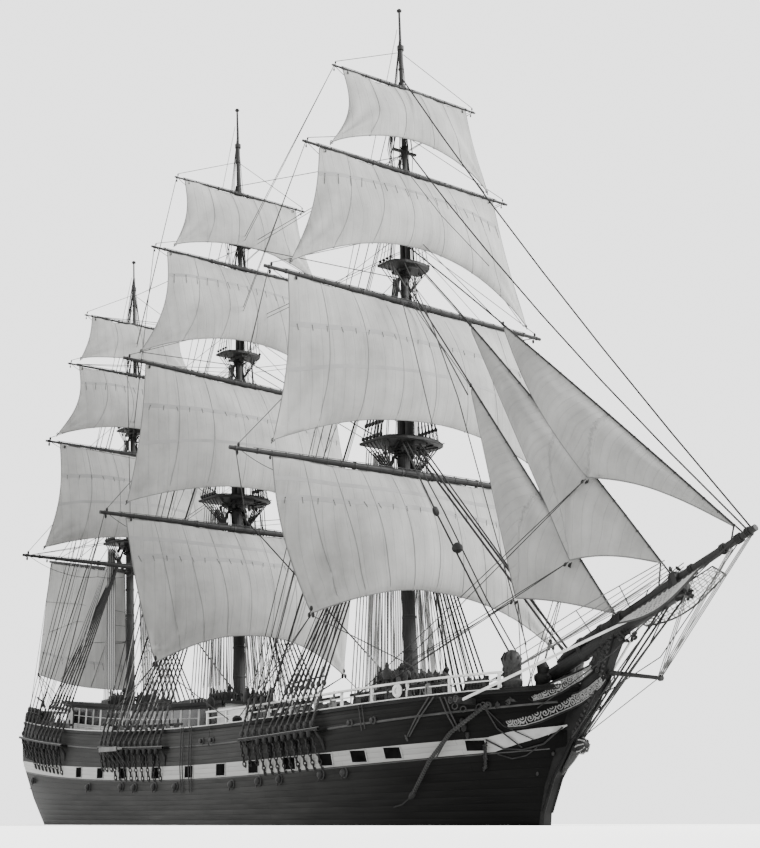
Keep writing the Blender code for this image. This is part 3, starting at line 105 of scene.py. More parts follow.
# columns: mast, sail, yard below, head half width, starboard clew half width and height, port clew
# half width and height, foot arch, leech hollow to starboard and to port, belly, lines down the front
SQUARE_SAILS = (
    ("fore", "course", None, 4.66, 3.60, 5.30, 4.44, 4.95, 0.98, -0.25, 0.65, 1.00, 9),
    ("fore", "topsail", "course", 4.40, 4.75, 9.78, 4.80, 9.75, 1.05, 0.22, 0.10, 1.00, 7),
    ("fore", "topgallant", "topsail", 3.25, 4.44, 14.80, 4.41, 14.76, 1.28, 0.25, 0.09, 0.80, 6),
    ("fore", "royal", "topgallant", 2.30, 2.97, 18.75, 2.86, 18.75, 0.76, 0.40, 0.08, 0.50, 4),
    ("main", "course", None, 4.35, 3.40, 4.80, 3.60, 4.80, 1.00, -0.10, 0.0, 0.95, 8),
    ("main", "topsail", "course", 3.93, 4.43, 9.72, 4.43, 9.70, 0.90, 0.14, 0.14, 0.95, 6),
    ("main", "topgallant", "topsail", 3.01, 4.22, 14.68, 4.22, 14.66, 1.05, 0.38, 0.38, 0.75, 5),
    ("main", "royal", "topgallant", 2.27, 2.83, 18.76, 2.83, 18.76, 0.47, 0.25, 0.12, 0.50, 4),
    ("mizzen", "topsail", "course", 3.15, 3.80, 9.48, 3.80, 9.48, 0.66, 0.27, 0.17, 0.75, 5),
    ("mizzen", "topgallant", "topsail", 2.43, 3.35, 13.75, 3.35, 13.75, 0.62, 0.38, 0.20, 0.60, 4),
    ("mizzen", "royal", "topgallant", 1.88, 2.45, 16.85, 2.30, 16.85, 0.30, 0.10, 0.20, 0.42, 3),
)
BOOM_TIP, BOOM_SLOPE = Vector((19.31, 0.0, 6.13)), 0.352
TOP_WIDTH = {"fore": 1.05, "main": 1.05, "mizzen": 0.82}
CROSSTREES_WIDTH = {"fore": 0.72, "main": 0.70, "mizzen": 0.55}
# name: spar that carries its upper end, upper height, x of its foot on the jibboom, how far it bows ahead
HEAD_STAYS = {
    "fore_topmast_stay": (1, 15.42, 15.05, 0.0),
    "jib_stay": (None, 15.76, 16.92, 0.14),
    "outer_jib_stay": (2, 16.40, 19.00, 0.08),
}
# columns: name, stay, head x, tack x, clew x, y, z, roach, foot arch
HEADSAILS = (
    ("staysail", "fore_topmast_stay", 9.80, 14.92, 11.77, -0.30, 5.47, 0.0, 0.08),
    ("jib", "jib_stay", 9.75, 16.49, 13.79, -0.30, 6.15, 0.0, 0.12),
    ("outer_jib", "outer_jib_stay", 11.15, 18.72, 14.43, -0.25, 8.07, 0.30, 0.26),
)
DRIVER_SWING = radians(13.0)
GAFF_Z, GAFF_PEAK_Z, GAFF_LENGTH = 9.08, 9.99, 4.95
DRIVER_TACK_Z, DRIVER_CLEW_Z, DRIVER_FOOT = 4.72, 5.62, 5.55


# Form of the hull and the spars

def sheer(x, amidships, aft, fore):
    return amidships + (aft if x < SHEER_LOW_X else fore) * (x - SHEER_LOW_X) ** 2


def transom_x(z):
    return TRANSOM_X + TRANSOM_RAKE * z


def half_breadth(x, level):
    _, _, _, widest, bow_x, bow_start, bow_power, stern_half, stern_power = level
    if x > bow_start:
        return STEM_HALF + (widest - STEM_HALF) * (1 - min(1.0, (x - bow_start) / (bow_x - bow_start)) ** bow_power)
    if x < STERN_CURVE_X:
        part = min(1.0, (STERN_CURVE_X - x) / (STERN_CURVE_X - transom_x(level[0])))
        return stern_half + (widest - stern_half) * (1 - part ** stern_power)
    return widest


def rail_z(x):
    return sheer(x, *RAIL_LEVEL)


def rail_half(x):
    return half_breadth(x, LEVELS[-1])


def on_rail(x, side, out=0.0, lift=0.0):
    """A point at a distance outside the rail's edge and above it."""
    return Vector((x, side * (rail_half(x) + out), rail_z(x) + lift))


def deck_z(x):
    return rail_z(x) - BULWARK


def hull_knot(share, level):
    """Point on a level line: share runs from the transom, 0, to the stem, 1."""
    bent = share - 0.12 * sin(2 * pi * share) / (2 * pi)
    aft = transom_x(sheer(TRANSOM_X, *level[:3]))
    x = aft + (level[4] - aft) * bent
    z = sheer(x, *level[:3])
    return Vector((x if share > 0 else transom_x(z), half_breadth(x, level), z))


def hull_at(x, z):
    """Half breadth of the hull's side at a height."""
    low = LEVELS[0]
    for level in LEVELS:
        if sheer(x, *level[:3]) >= z:
            near, far = sheer(x, *low[:3]), sheer(x, *level[:3])
            mix = (z - near) / (far - near) if far > near else 0.0
            return half_breadth(x, low) * (1 - mix) + half_breadth(x, level) * mix
        low = level
    return rail_half(x)


def axis(mast, spar, z):
    """A point on the axis of the lower mast (0), topmast (1) or topgallant mast (2)."""
    x, rake = MASTS[mast][:2]
    return Vector((x - rake * (z - MAST_STEP_Z) + SPAR_AHEAD[spar], 0.0, z))


def crosstrees_centre(mast):
    cross = MASTS[mast][4]
    return (axis(mast, 1, cross) + axis(mast, 2, cross)) / 2 + Z * 0.01


def yard_axis(sail):
    return 1 if sail in ("course", "topsail") else 2


def yard_frame(mast, sail):
    z, _, angle, _ = YARDS[mast, sail]
    turn = radians(angle)
    ahead = Vector((cos(turn), sin(turn), 0.0))
    port = Vector((-sin(turn), cos(turn), 0.0))
    return axis(mast, yard_axis(sail), z) + ahead * YARD_AHEAD[sail], port, ahead


def yard_radius(mast, sail, along):
    _, length, _, radius = YARDS[mast, sail]
    return radius * (1 - (1 - YARD_TIP_RATIO) * min(1.0, abs(along) / (length / 2)))


def yard_point(mast, sail, share, lift=0.0, out=0.0):
    """A point on a yard: share -1 at the starboard end, 1 at the port end."""
    centre, port, ahead = yard_frame(mast, sail)
    return centre + port * (share * YARDS[mast, sail][1] / 2) + ahead * out + Z * lift


def yard_body(mast, sail):
    return mast + ("_lower_yards" if yard_axis(sail) == 1 else "_upper_yards")


def boom_point(x, lift=0.0):
    return Vector((x, 0.0, BOOM_TIP.z - BOOM_SLOPE * (BOOM_TIP.x - x) + lift))


# Materials

def shader(name, roughness, sheen=0.0, gloss=0.12):
    made = bpy.data.materials.new(name)
    made.use_nodes = True
    tree = made.node_tree
    face = tree.nodes["Principled BSDF"]
    face.inputs["Roughness"].default_value = roughness
    face.inputs["Sheen Weight"].default_value = sheen
    face.inputs["Specular IOR Level"].default_value = gloss
    return made, tree, face


def node(tree, kind, links, **values):
    """A shader node with its settings, input values and links from other sockets."""
    made = tree.nodes.new(kind)
    for key, value in values.items():
        if hasattr(made, key):
            setattr(made, key, value)
        else:
            made.inputs[key.replace("_", " ")].default_value = value
    for slot, source in links:
        tree.links.new(source, made.inputs[slot])
    return made


def math_node(tree, operation, first, second=None):
    made = tree.nodes.new("ShaderNodeMath")
    made.operation = operation
    for index, value in enumerate((first, second)):
        if value is None:
            continue
        if isinstance(value, (int, float)):
            made.inputs[index].default_value = value
        else:
            tree.links.new(value, made.inputs[index])
    return made.outputs[0]


def ramp(tree, source, *stops):
    made = node(tree, "ShaderNodeValToRGB", ((0, source),))
    while len(made.color_ramp.elements) < len(stops):
        made.color_ramp.elements.new(0.5)
    for element, (place, shade) in zip(made.color_ramp.elements, stops):
        element.position = place
        element.color = (shade, shade, shade * 0.985, 1.0)
    return made.outputs[0]


def noise(tree, source, scale, detail, rough=0.55, stretch=(1, 1, 1)):
    placed = node(tree, "ShaderNodeMapping", ((0, source),), Scale=stretch)
    return node(tree, "ShaderNodeTexNoise", ((0, placed.outputs[0]),), Scale=scale, Detail=detail,
        Roughness=rough).outputs["Fac"]


def mix(tree, amount, first, second, blend="MIX"):
    made = node(tree, "ShaderNodeMix", (), data_type="RGBA", blend_type=blend)
    for slot, value in ((0, amount), (6, first), (7, second)):
        if isinstance(value, bpy.types.NodeSocket):
            tree.links.new(value, made.inputs[slot])
        else:
            made.inputs[slot].default_value = value if slot == 0 else (value, value, value * 0.985, 1.0)
    return made.outputs[2]


def bump(tree, face, height, distance, strength):
    made = node(tree, "ShaderNodeBump", (("Height", height),), Distance=distance, Strength=strength)
    tree.links.new(made.outputs[0], face.inputs["Normal"])


def lines(tree, value, period, width):
    """1 on thin lines that repeat with a period, else 0."""
    share = math_node(tree, "FRACT", math_node(tree, "DIVIDE", value, period))
    away = math_node(tree, "ABSOLUTE", math_node(tree, "SUBTRACT", share, 0.5))
    return math_node(tree, "GREATER_THAN", away, 0.5 - width / period / 2)


def place(tree):
    return tree.nodes.new("ShaderNodeTexCoord").outputs["Object"]


def axes_of(tree, source):
    made = node(tree, "ShaderNodeSeparateXYZ", ((0, source),))
    return made.outputs[0], made.outputs[1], made.outputs[2]


def wood(name, dark, light, roughness, grain=(0.6, 6, 6), scale=6.0):
    """Weathered wood with its grain along one axis."""
    made, tree, face = shader(name, roughness)
    spot = place(tree)
    fine = noise(tree, spot, scale, 6.0, 0.65, grain)
    broad = noise(tree, spot, 0.9, 3.0)
    color = mix(tree, broad, ramp(tree, fine, (0.3, dark), (0.7, light)), dark)
    tree.links.new(color, face.inputs["Base Color"])
    bump(tree, face, fine, 0.012, 0.6)
    return made


CLOTH_WIDTH, CLOTH_SEAM = 0.30, 0.014


def canvas(name, leech=1.0):
    """Sailcloth: seams between the cloths, weave, stains from wind and rain, and a painted shade toward the starboard
    leech, set by leech.

    UV is in metres.
    """
    made, tree, face = shader(name, 0.92, sheen=0.15)
    flat = tree.nodes.new("ShaderNodeUVMap").outputs[0]
    across = axes_of(tree, flat)[0]
    seam = lines(tree, across, CLOTH_WIDTH, CLOTH_SEAM)
    spot = place(tree)
    streak = noise(tree, flat, 1.0, 5.0, 0.6, (3.2, 0.35, 1))
    stain = noise(tree, spot, 0.55, 6.0, 0.65)
    color = mix(tree, 0.55, ramp(tree, streak, (0.25, 0.120), (0.75, 0.205)),
        ramp(tree, stain, (0.32, 0.110), (0.68, 0.225)))
    color = mix(tree, math_node(tree, "MULTIPLY", seam, 0.28), color, 0.064)
    # painted shade for the starboard leech: the colour is multiplied by leech at UV across 0 m, rising to 1 at 0.9 m
    color = mix(tree, 1.0, color, ramp(tree, across, (0.0, leech), (0.9, 1.0)), "MULTIPLY")
    tree.links.new(color, face.inputs["Base Color"])
    weave = noise(tree, flat, 60.0, 2.0, 0.5)
    height = math_node(tree, "ADD", math_node(tree, "MULTIPLY", weave, 0.15),
        math_node(tree, "MULTIPLY", streak, 1.0))
    bump(tree, face, math_node(tree, "SUBTRACT", height, math_node(tree, "MULTIPLY", seam, 0.3)), 0.03, 0.8)
    return made


def rope(name, dark, light, twist=26.0):
    """Laid rope: strands wind along it, each painted light on its crown and dark at its edges as highlight and shade.
    UV is metres along and turns around.
    """
    made, tree, face = shader(name, 0.85)
    flat = tree.nodes.new("ShaderNodeUVMap").outputs[0]
    along, around, _ = axes_of(tree, flat)
    strand = math_node(tree, "FRACT", math_node(tree, "ADD", math_node(tree, "MULTIPLY", along, twist),
        math_node(tree, "MULTIPLY", around, 3.0)))
    tar = noise(tree, place(tree), 1.6, 4.0)
    # painted highlight and shade: each strand is light across its crown and dark where it meets the next
    color = mix(tree, tar, ramp(tree, strand, (0.05, dark * 0.5), (0.4, light), (0.95, dark)), dark)
    tree.links.new(color, face.inputs["Base Color"])
    bump(tree, face, strand, 0.006, 0.7)
    return made


def planked(name, dark, light, gap=0.08, roughness=0.5, seam_shade=None, gloss=0.1, painted_shade_along=None):
    """Painted planks with caulked seams. UV is metres along the planks and planks across them.

    The last argument lists a painted shade at places along the hull, as (x, share): the colour is multiplied by the
    share, standing in for light that falls unevenly along the hull.
    """
    made, tree, face = shader(name, roughness, gloss=gloss)
    flat = tree.nodes.new("ShaderNodeUVMap").outputs[0]
    along, level, _ = axes_of(tree, flat)
    row = math_node(tree, "FLOOR", level)
    seam = lines(tree, level, 1.0, gap)
    shifted = math_node(tree, "ADD", along, math_node(tree, "MULTIPLY", row, BUTT_SHIFT))
    butt = lines(tree, shifted, PLANK_LENGTH, BUTT_WIDTH)
    crack = math_node(tree, "MAXIMUM", seam, butt)
    cell = node(tree, "ShaderNodeCombineXYZ", ((0, math_node(tree, "MULTIPLY", along, 0.2)), (2, row)))
    tone = noise(tree, cell.outputs[0], 2.3, 2.0)
    streak = noise(tree, flat, 3.0, 6.0, 0.6, (0.4, 2.5, 1))
    color = mix(tree, 0.5, ramp(tree, tone, (0.3, dark), (0.7, light)), ramp(tree, streak, (0.3, dark), (0.7, light)))
    color = mix(tree, math_node(tree, "MULTIPLY", crack, 0.7), color,
        dark * 0.4 if seam_shade is None else seam_shade)
    # painted shade: the colour is darkened along the hull by the listed shares
    if painted_shade_along:
        aft, fore = painted_shade_along[0][0], painted_shade_along[-1][0]
        dark_carving_and_shade_share = node(tree, "ShaderNodeMapRange", ((0, along),), clamp=True)
        dark_carving_and_shade_share.inputs[1].default_value, dark_carving_and_shade_share.inputs[2].default_value = aft, fore
        shades = ramp(tree, dark_carving_and_shade_share.outputs[0], *[((x - aft) / (fore - aft), share) for x, share in painted_shade_along])
        color = mix(tree, 1.0, color, shades, "MULTIPLY")
    tree.links.new(color, face.inputs["Base Color"])
    bump(tree, face, math_node(tree, "SUBTRACT", math_node(tree, "MULTIPLY", streak, 0.5), crack), 0.004, 0.5)
    return made


def painted(name, dark, light, roughness, gloss=0.12, scale=3.0):
    """Paint or metal that has weathered unevenly, with fine brush or casting texture."""
    made, tree, face = shader(name, roughness, gloss=gloss)
    spot = place(tree)
    broad, fine = noise(tree, spot, scale, 5.0, 0.6), noise(tree, spot, 40.0, 3.0)
    tree.links.new(ramp(tree, broad, (0.3, dark), (0.7, light)), face.inputs["Base Color"])
    bump(tree, face, math_node(tree, "ADD", fine, broad), 0.004, 0.5)
    return made


CANVAS = canvas("sail_canvas")
# square sails take the painted shade toward the starboard leech
SQUARE_CANVAS = canvas("square_canvas", 0.66)
TARRED = rope("tarred_rope", 0.006, 0.050)
HEMP = rope("hemp_rope", 0.014, 0.070, 40.0)
PALE_ROPE = rope("pale_rope", 0.060, 0.19, 40.0)
# painted light: thin hanging gear and the bow net get a rope colour far lighter than the other ropes, standing in for
# light on them
PAINTED_LIGHT_ROPE = rope("painted_light_rope", 0.20, 0.40, 40.0)
SPAR = wood("dark_spar", 0.005, 0.021, 0.6, (6, 1, 6), 5.0)
MAST = wood("dark_mast", 0.006, 0.027, 0.55, (6, 6, 0.5), 5.0)
BLOCK_WOOD = wood("block_wood", 0.005, 0.022, 0.6)
CARVED = wood("carved_wood", 0.07, 0.30, 0.6, (1, 1, 1), 14.0)
CARVED_DARK = wood("carved_dark", 0.007, 0.048, 0.6, (1, 1, 1), 14.0)
# hull planks: painted shade, lightest amidships, darker toward the stern and darkest at the bow
HULL_DARK = planked("hull_planks", 0.0115, 0.034, gap=0.06, seam_shade=0.007, gloss=0.03,
                    painted_shade_along=((-14.0, 0.42), (-7.0, 0.62), (-1.0, 1.0), (5.0, 0.85), (9.0, 0.32), (13.0, 0.05)))
# white band: painted shade, darker toward the bow
BAND_WHITE = planked("band_planks", 0.19, 0.27, gap=0.05, seam_shade=0.12, painted_shade_along=((-14.0, 1.0), (13.0, 0.75)))
DECK = planked("deck_planks", 0.05, 0.09, roughness=0.75)
ROOF = planked("roof_planks", 0.005, 0.015, roughness=0.7)
WHITE = painted("white_paint", 0.27, 0.43, 0.45)
BAND_PLAIN = painted("band_white", 0.15, 0.22, 0.5)
HULL_GREY = painted("moulding_grey", 0.016, 0.038, 0.5)
EDGE_GREY = painted("edge_grey", 0.05, 0.10, 0.5)
BAND_CLOTH = painted("band_canvas", 0.130, 0.165, 0.92, scale=1.2)
INNER_WHITE = painted("inner_white", 0.10, 0.18, 0.6)
IRON = painted("black_iron", 0.005, 0.018, 0.5, 0.12, 6.0)
GLASS = painted("dark_glass", 0.003, 0.010, 0.12, 0.4)
PORT_DARK = painted("port_shadow", 0.0015, 0.005, 0.9, 0.0)
HULL_DARK_PLAIN = painted("hull_black", 0.003, 0.010, 0.5, 0.05, 1.5)
TAR_PLAIN = painted("tarred_stay", 0.006, 0.022, 0.85, scale=8.0)
FLOOR = painted("floor_grey", 0.80, 0.84, 0.9, 0.0, 0.02)

# the part's slot that each paint stands for
SLOTS = {paint.name: slot for slot, paints in (
    ("canvas", (CANVAS, SQUARE_CANVAS, BAND_CLOTH)),
    ("tarred_rope", (TARRED, HEMP, PALE_ROPE, PAINTED_LIGHT_ROPE, IRON)),
    ("spar_wood", (SPAR, BLOCK_WOOD)),
    ("white_paint", (WHITE, INNER_WHITE, BAND_PLAIN, DECK, ROOF)),
    ("hull_paint", (CARVED, CARVED_DARK, HULL_DARK, HULL_GREY, EDGE_GREY, PORT_DARK))) for paint in paints}


# Building of pieces

class Piece:
    """Collects the faces of one named piece. UV is stored for each corner of a face."""

    def __init__(self, name, body, *paints):
        self.name, self.body, self.paints = name, body, paints
        self.points, self.faces, self.flats, self.slots = [], [], [], []

    def face(self, corners, flat=None, paint=0):
        self.faces.append(corners)
        self.flats.append(flat or [(0.0, 0.0)] * len(corners))
        self.slots.append(paint)

    def rings(self, rings, along, caps=True, paint=0):
        """A body through closed rings of equally many points."""
        first, sides = len(self.points), len(rings[0])
        for ring in rings:
            self.points.extend(ring)
        for row in range(len(rings) - 1):
            for side in range(sides):
                after, low = (side + 1) % sides, first + row * sides
                near, far = side / sides, (side + 1) / sides
                self.face((low + side, low + after, low + sides + after, low + sides + side),
                    [(along[row], near), (along[row], far), (along[row + 1], far), (along[row + 1], near)], paint)
        if caps:
            last = first + (len(rings) - 1) * sides
            self.face(tuple(range(first + sides - 1, first - 1, -1)), None, paint)
            self.face(tuple(range(last, last + sides)), None, paint)
        return self

    def tube(self, spots, radius, sides=6, paint=0, up=None):
        """A round rope or rod through the points."""
        spots = [Vector(spot) for spot in spots]
        rings, along, reach = [], [], RANDOM.random()
        for index, spot in enumerate(spots):
            course = (spots[min(index + 1, len(spots) - 1)] - spots[max(index - 1, 0)]).normalized()
            up = course.orthogonal().normalized() if up is None else (up - course * up.dot(course)).normalized()
            across = course.cross(up)
            size = radius[index] if isinstance(radius, (tuple, list)) else radius
            rings.append([spot + (up * cos(turn) + across * sin(turn)) * size
                for turn in (2 * pi * side / sides for side in range(sides))])
            if index:
                reach += (spot - spots[index - 1]).length
            along.append(reach)
        return self.rings(rings, along, True, paint)

    def turned(self, place, course, profile, sides=10, paint=0):
        """A turned body: profile gives radius and distance along the course."""
        place, course = Vector(place), Vector(course).normalized()
        up = course.orthogonal().normalized()
        across = course.cross(up)
        rings = [[place + course * step + (up * cos(turn) + across * sin(turn)) * max(size, 0.0005)
            for turn in (2 * pi * side / sides for side in range(sides))] for size, step in profile]
        return self.rings(rings, [step for _, step in profile], True, paint)

    def hoop(self, place, course, size, width, sides=12, edge=0.005):
        """A flat iron band round a spar."""
        return self.turned(place, course, ((size + 0.001, 0), (size + 0.012, edge), (size + 0.012, width - edge),
            (size + 0.001, width)), sides)

    def oval(self, place, first, second, thick, sides=12, paint=0):
        """A closed ring of rope or iron; first and second are its half axes."""
        place, normal, rings = Vector(place), first.cross(second).normalized(), []
        for side in range(sides + 1):
            turn = 2 * pi * side / sides
            away = first * cos(turn) + second * sin(turn)
            out = away.normalized()
            rings.append([place + away + out * (thick * cos(tilt)) + normal * (thick * sin(tilt))
                for tilt in (pi * step / 2.5 for step in range(5))])
        reach = pi * (first.length + second.length)
        return self.rings(rings, [reach * side / sides for side in range(sides + 1)], False, paint)

    def loop(self, place, course, radius, thick, sides=12, paint=0):
        """A round ring about a course."""
        course = Vector(course).normalized()
        up = course.orthogonal().normalized() * radius
        return self.oval(place, up, course.cross(up), thick, sides, paint)

    def chain(self, start, end, size, thick):
        """Links that lie flat and on edge by turns."""
        start, end = Vector(start), Vector(end)
        course = end - start
        count = max(2, round(course.length / (size * 1.45)))
        course.normalize()
        up = course.orthogonal().normalized()
        for index in range(count):
            across = up if index % 2 else course.cross(up)
            self.oval(start.lerp(end, (index + 0.5) / count), course * size, across * (size * 0.5), thick, 8)
        return self

    def scroll(self, place, right, up, radius, turns, thick, hand=1, start=0.0):
        """A carved spiral with a boss in its eye."""
        spots, thicks, steps = [], [], round(13 * turns)
        for step in range(steps + 1):
            share = step / steps
            turn = start + hand * 2 * pi * turns * share
            away = radius * (1 - 0.86 * share)
            spots.append(place + right * (away * cos(turn)) + up * (away * sin(turn)))
            thicks.append(thick * (0.7 + 0.5 * share))
        out = right.cross(up)
        self.tube(spots, thicks, 5, up=out)
        return self.turned(spots[-1], out, ((thick * 1.6, -thick), (thick * 1.7, 0), (thick * 0.7, thick * 1.5)), 7)

    def hank(self, place, out, size, thick, turns):
        """A coil of rope that hangs from a pin."""
        place, out = Vector(place), Vector(out).normalized()
        across = out.cross(Z).normalized()
        for turn in range(turns):
            grow = 1 - 0.10 * turn
            self.oval(place + out * (0.02 + 0.022 * turn) - Z * (size * 1.1), Z * (size * 1.25 * grow),
                across * (size * 0.5 * grow), thick, 12)
        return self.oval(place + out * 0.05 - Z * (size * 0.25), Z * (size * 0.3), out * 0.07, thick, 8)

    def block(self, place, course, size):
        """A ship's block: an egg-shaped shell with a rope strop."""
        profile = [(share * size * 0.62, step * size) for share, step in ((0.25, -1), (0.8, -0.68), (1, 0),
            (0.8, 0.68), (0.25, 1))]
        self.turned(place, course, profile, 7)
        return self.loop(place, Vector(course).orthogonal(), size * 0.98, size * 0.11, 8)

    def box(self, low, high, frame_of=None, paint=0, soften=0.0):
        """A box between two corners, turned and placed by a matrix; soften chamfers its long edges."""
        low, high = Vector(low), Vector(high)
        cut = min(soften, (high.y - low.y) / 3, (high.z - low.z) / 3)
        outline = [(low.y + cut, low.z), (high.y - cut, low.z), (high.y, low.z + cut), (high.y, high.z - cut),
            (high.y - cut, high.z), (low.y + cut, high.z), (low.y, high.z - cut), (low.y, low.z + cut)]
        if cut <= 0:
            outline = [(low.y, low.z), (high.y, low.z), (high.y, high.z), (low.y, high.z)]
        turn = frame_of or Matrix.Identity(4)
        return self.rings([[turn @ Vector((x, y, z)) for y, z in outline] for x in (low.x, high.x)], [low.x, high.x],
            True, paint)

    def strip(self, spots, outline, paint=0):
        """A moulding along a line: outline gives (out, up) offsets and each spot its outward direction."""
        rings, along, reach = [], [], 0.0
        for index, (spot, out) in enumerate(spots):
            rings.append([spot + out * across + Z * lift for across, lift in outline])
            if index:
                reach += (spot - spots[index - 1][0]).length
            along.append(reach)
        return self.rings(rings, along, True, paint)

    def grid(self, rows, flats, paint=0):
        """An open sheet through rows of points, with a flat position for each point."""
        first, width = len(self.points), len(rows[0])
        for row in rows:
            self.points.extend(row)
        for row in range(len(rows) - 1):
            pick = paint(row) if callable(paint) else paint
            for spot in range(width - 1):
                low = first + row * width + spot
                self.face((low, low + 1, low + width + 1, low + width),
                    [flats[row][spot], flats[row][spot + 1], flats[row + 1][spot + 1], flats[row + 1][spot]], pick)
        return self

    def planks(self, width):
        """Flat positions of planks that run fore and aft."""
        self.flats = [[(self.points[corner].x, self.points[corner].y / width) for corner in face]
            for face in self.faces]

    def done(self, slot=None, blend=None, angle=38):
        """Makes the object; its slot, that of its first paint unless another is given, is worked out but not used."""
        slot = slot or SLOTS[self.paints[0].name]
        mesh = bpy.data.meshes.new(self.name)
        mesh.from_pydata([tuple(point) for point in self.points], [], self.faces)
        for paint in self.paints:
            mesh.materials.append(paint)
        mesh.polygons.foreach_set("material_index", self.slots)
        layer = mesh.uv_layers.new(name="flat")
        layer.data.foreach_set("uv", [value for face in self.flats for corner in face for value in corner])
        mesh.shade_smooth()
        mesh.set_sharp_from_angle(angle=radians(angle))
        item = bpy.data.objects.new(self.name, mesh)
        bpy.context.scene.collection.objects.link(item)
        if blend:
            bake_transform(item)
        else:
            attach(item, self.body)
        return item


def lerp(first, last, share):
    return first + (last - first) * share


def sagging(start, end, sag, steps):
    """Points of a slack line between two ends."""
    start, end = Vector(start), Vector(end)
    return [start.lerp(end, step / steps) - Z * (4 * sag * (step / steps) * (1 - step / steps))
        for step in range(steps + 1)]


# Hull

def finish(*pieces):
    for piece in pieces:
        piece.done()


def hull_skin():
    """Planking over the hull's sides, from the keel to the rail, with a groove at each seam."""
    stations, rows = 110, []
    for low, high in zip(LEVELS, LEVELS[1:]):
        count = max(2, round((high[0] - low[0]) / STRAKE_WIDTH))
        for strake in range(count):
            for part, out in ((0.0, 0.006), (0.06, 0.009), (0.94, 0.009)):
                rows.append((low, high, (strake + part) / count, out, strake + part))
    rows.append((LEVELS[-2], LEVELS[-1], 1.0, 0.006, 0.0))
    first_white, last_white = (next(index for index, row in enumerate(rows) if row[0] is level)
        for level in (BAND_LOW, BAND_HIGH))
    for name, side in (("port", 1), ("starboard", -1)):
        skin = Piece("hull_planking_" + name, "ship", HULL_DARK, BAND_WHITE)
        points, flats, strakes = [], [], -1
        for low, high, mixing, out, place_in in rows:
            if place_in == int(place_in):
                strakes += 1
            row, flat = [], []
            for station in range(stations + 1):
                share = station / stations
                spot, ahead, behind = (hull_knot(part, low).lerp(hull_knot(part, high), mixing)
                    for part in (share, min(1, share + 0.004), max(0.001, share - 0.004)))
                normal = (hull_knot(share, high) - hull_knot(share, low)).cross(ahead - behind)
                if normal.length < 1e-9 or spot.y < STEM_HALF + 0.002:
                    normal = Y
                normal = normal.normalized() * (-1 if normal.y < 0 else 1)
                spot = spot + normal * (out + 0.003)
                row.append(Vector((spot.x, side * spot.y, spot.z)))
                flat.append((spot.x, strakes + (place_in - int(place_in))))
            points.append(row)
            flats.append(flat)
        skin.grid(points, flats, lambda row: 1 if first_white <= row < last_white else 0)
        skin.done()


def side_spots(level, aft, fore, side, out):
    """Points along the hull's side on a level line, each with its outward direction."""
    count = max(2, round((fore - aft) / 0.35))
    spots = []
    for index in range(count + 1):
        x = lerp(aft, fore, index / count)
        z = sheer(x, *level)
        spots.append((Vector((x, side * (hull_at(x, z) + out), z)), Y * side))
    return spots


def height_along(line, x):
    """Height at x on a line of (x, z) points."""
    for (near, low), (far, high) in zip(line, line[1:]):
        if x <= far:
            return lerp(low, high, max(0.0, (x - near) / (far - near)))
    return line[-1][1]


def band_end():
    """The white band's fore end, which narrows to a point below the carving."""
    piece = Piece("band_end", "ship", HULL_DARK, BAND_PLAIN)
    aft = 11.72
    under = [(x, sheer(x, *BAND_LOW[:3]) - 0.03) for x in (aft, 12.6, 13.4)]
    over = [(x, sheer(x, *BAND_HIGH[:3]) + 0.02) for x in (aft, 12.6, 13.4)]
    low = [(aft, sheer(aft, *BAND_LOW[:3])), (12.28, 1.90), (12.69, 2.02), (13.38, 2.285)]
    high = [(aft, sheer(aft, *BAND_HIGH[:3])), (12.20, 2.17), (12.8, 2.25), (13.38, 2.31)]
    for side in (1, -1):
        for paint, out, bottom, top, fore in ((0, 0.016, under, over, 13.30), (1, 0.021, low, high, 13.36)):
            rows, flats = [], []
            for step in range(25):
                x = lerp(aft, fore, step / 24)
                ends = height_along(bottom, x), height_along(top, x)
                rows.append([side_point(x, lerp(*ends, share / 4), side, out) for share in range(5)])
                flats.append([(x, 0.1 + 0.2 * share) for share in range(5)])
            piece.grid(rows, flats, paint)
    piece.done()


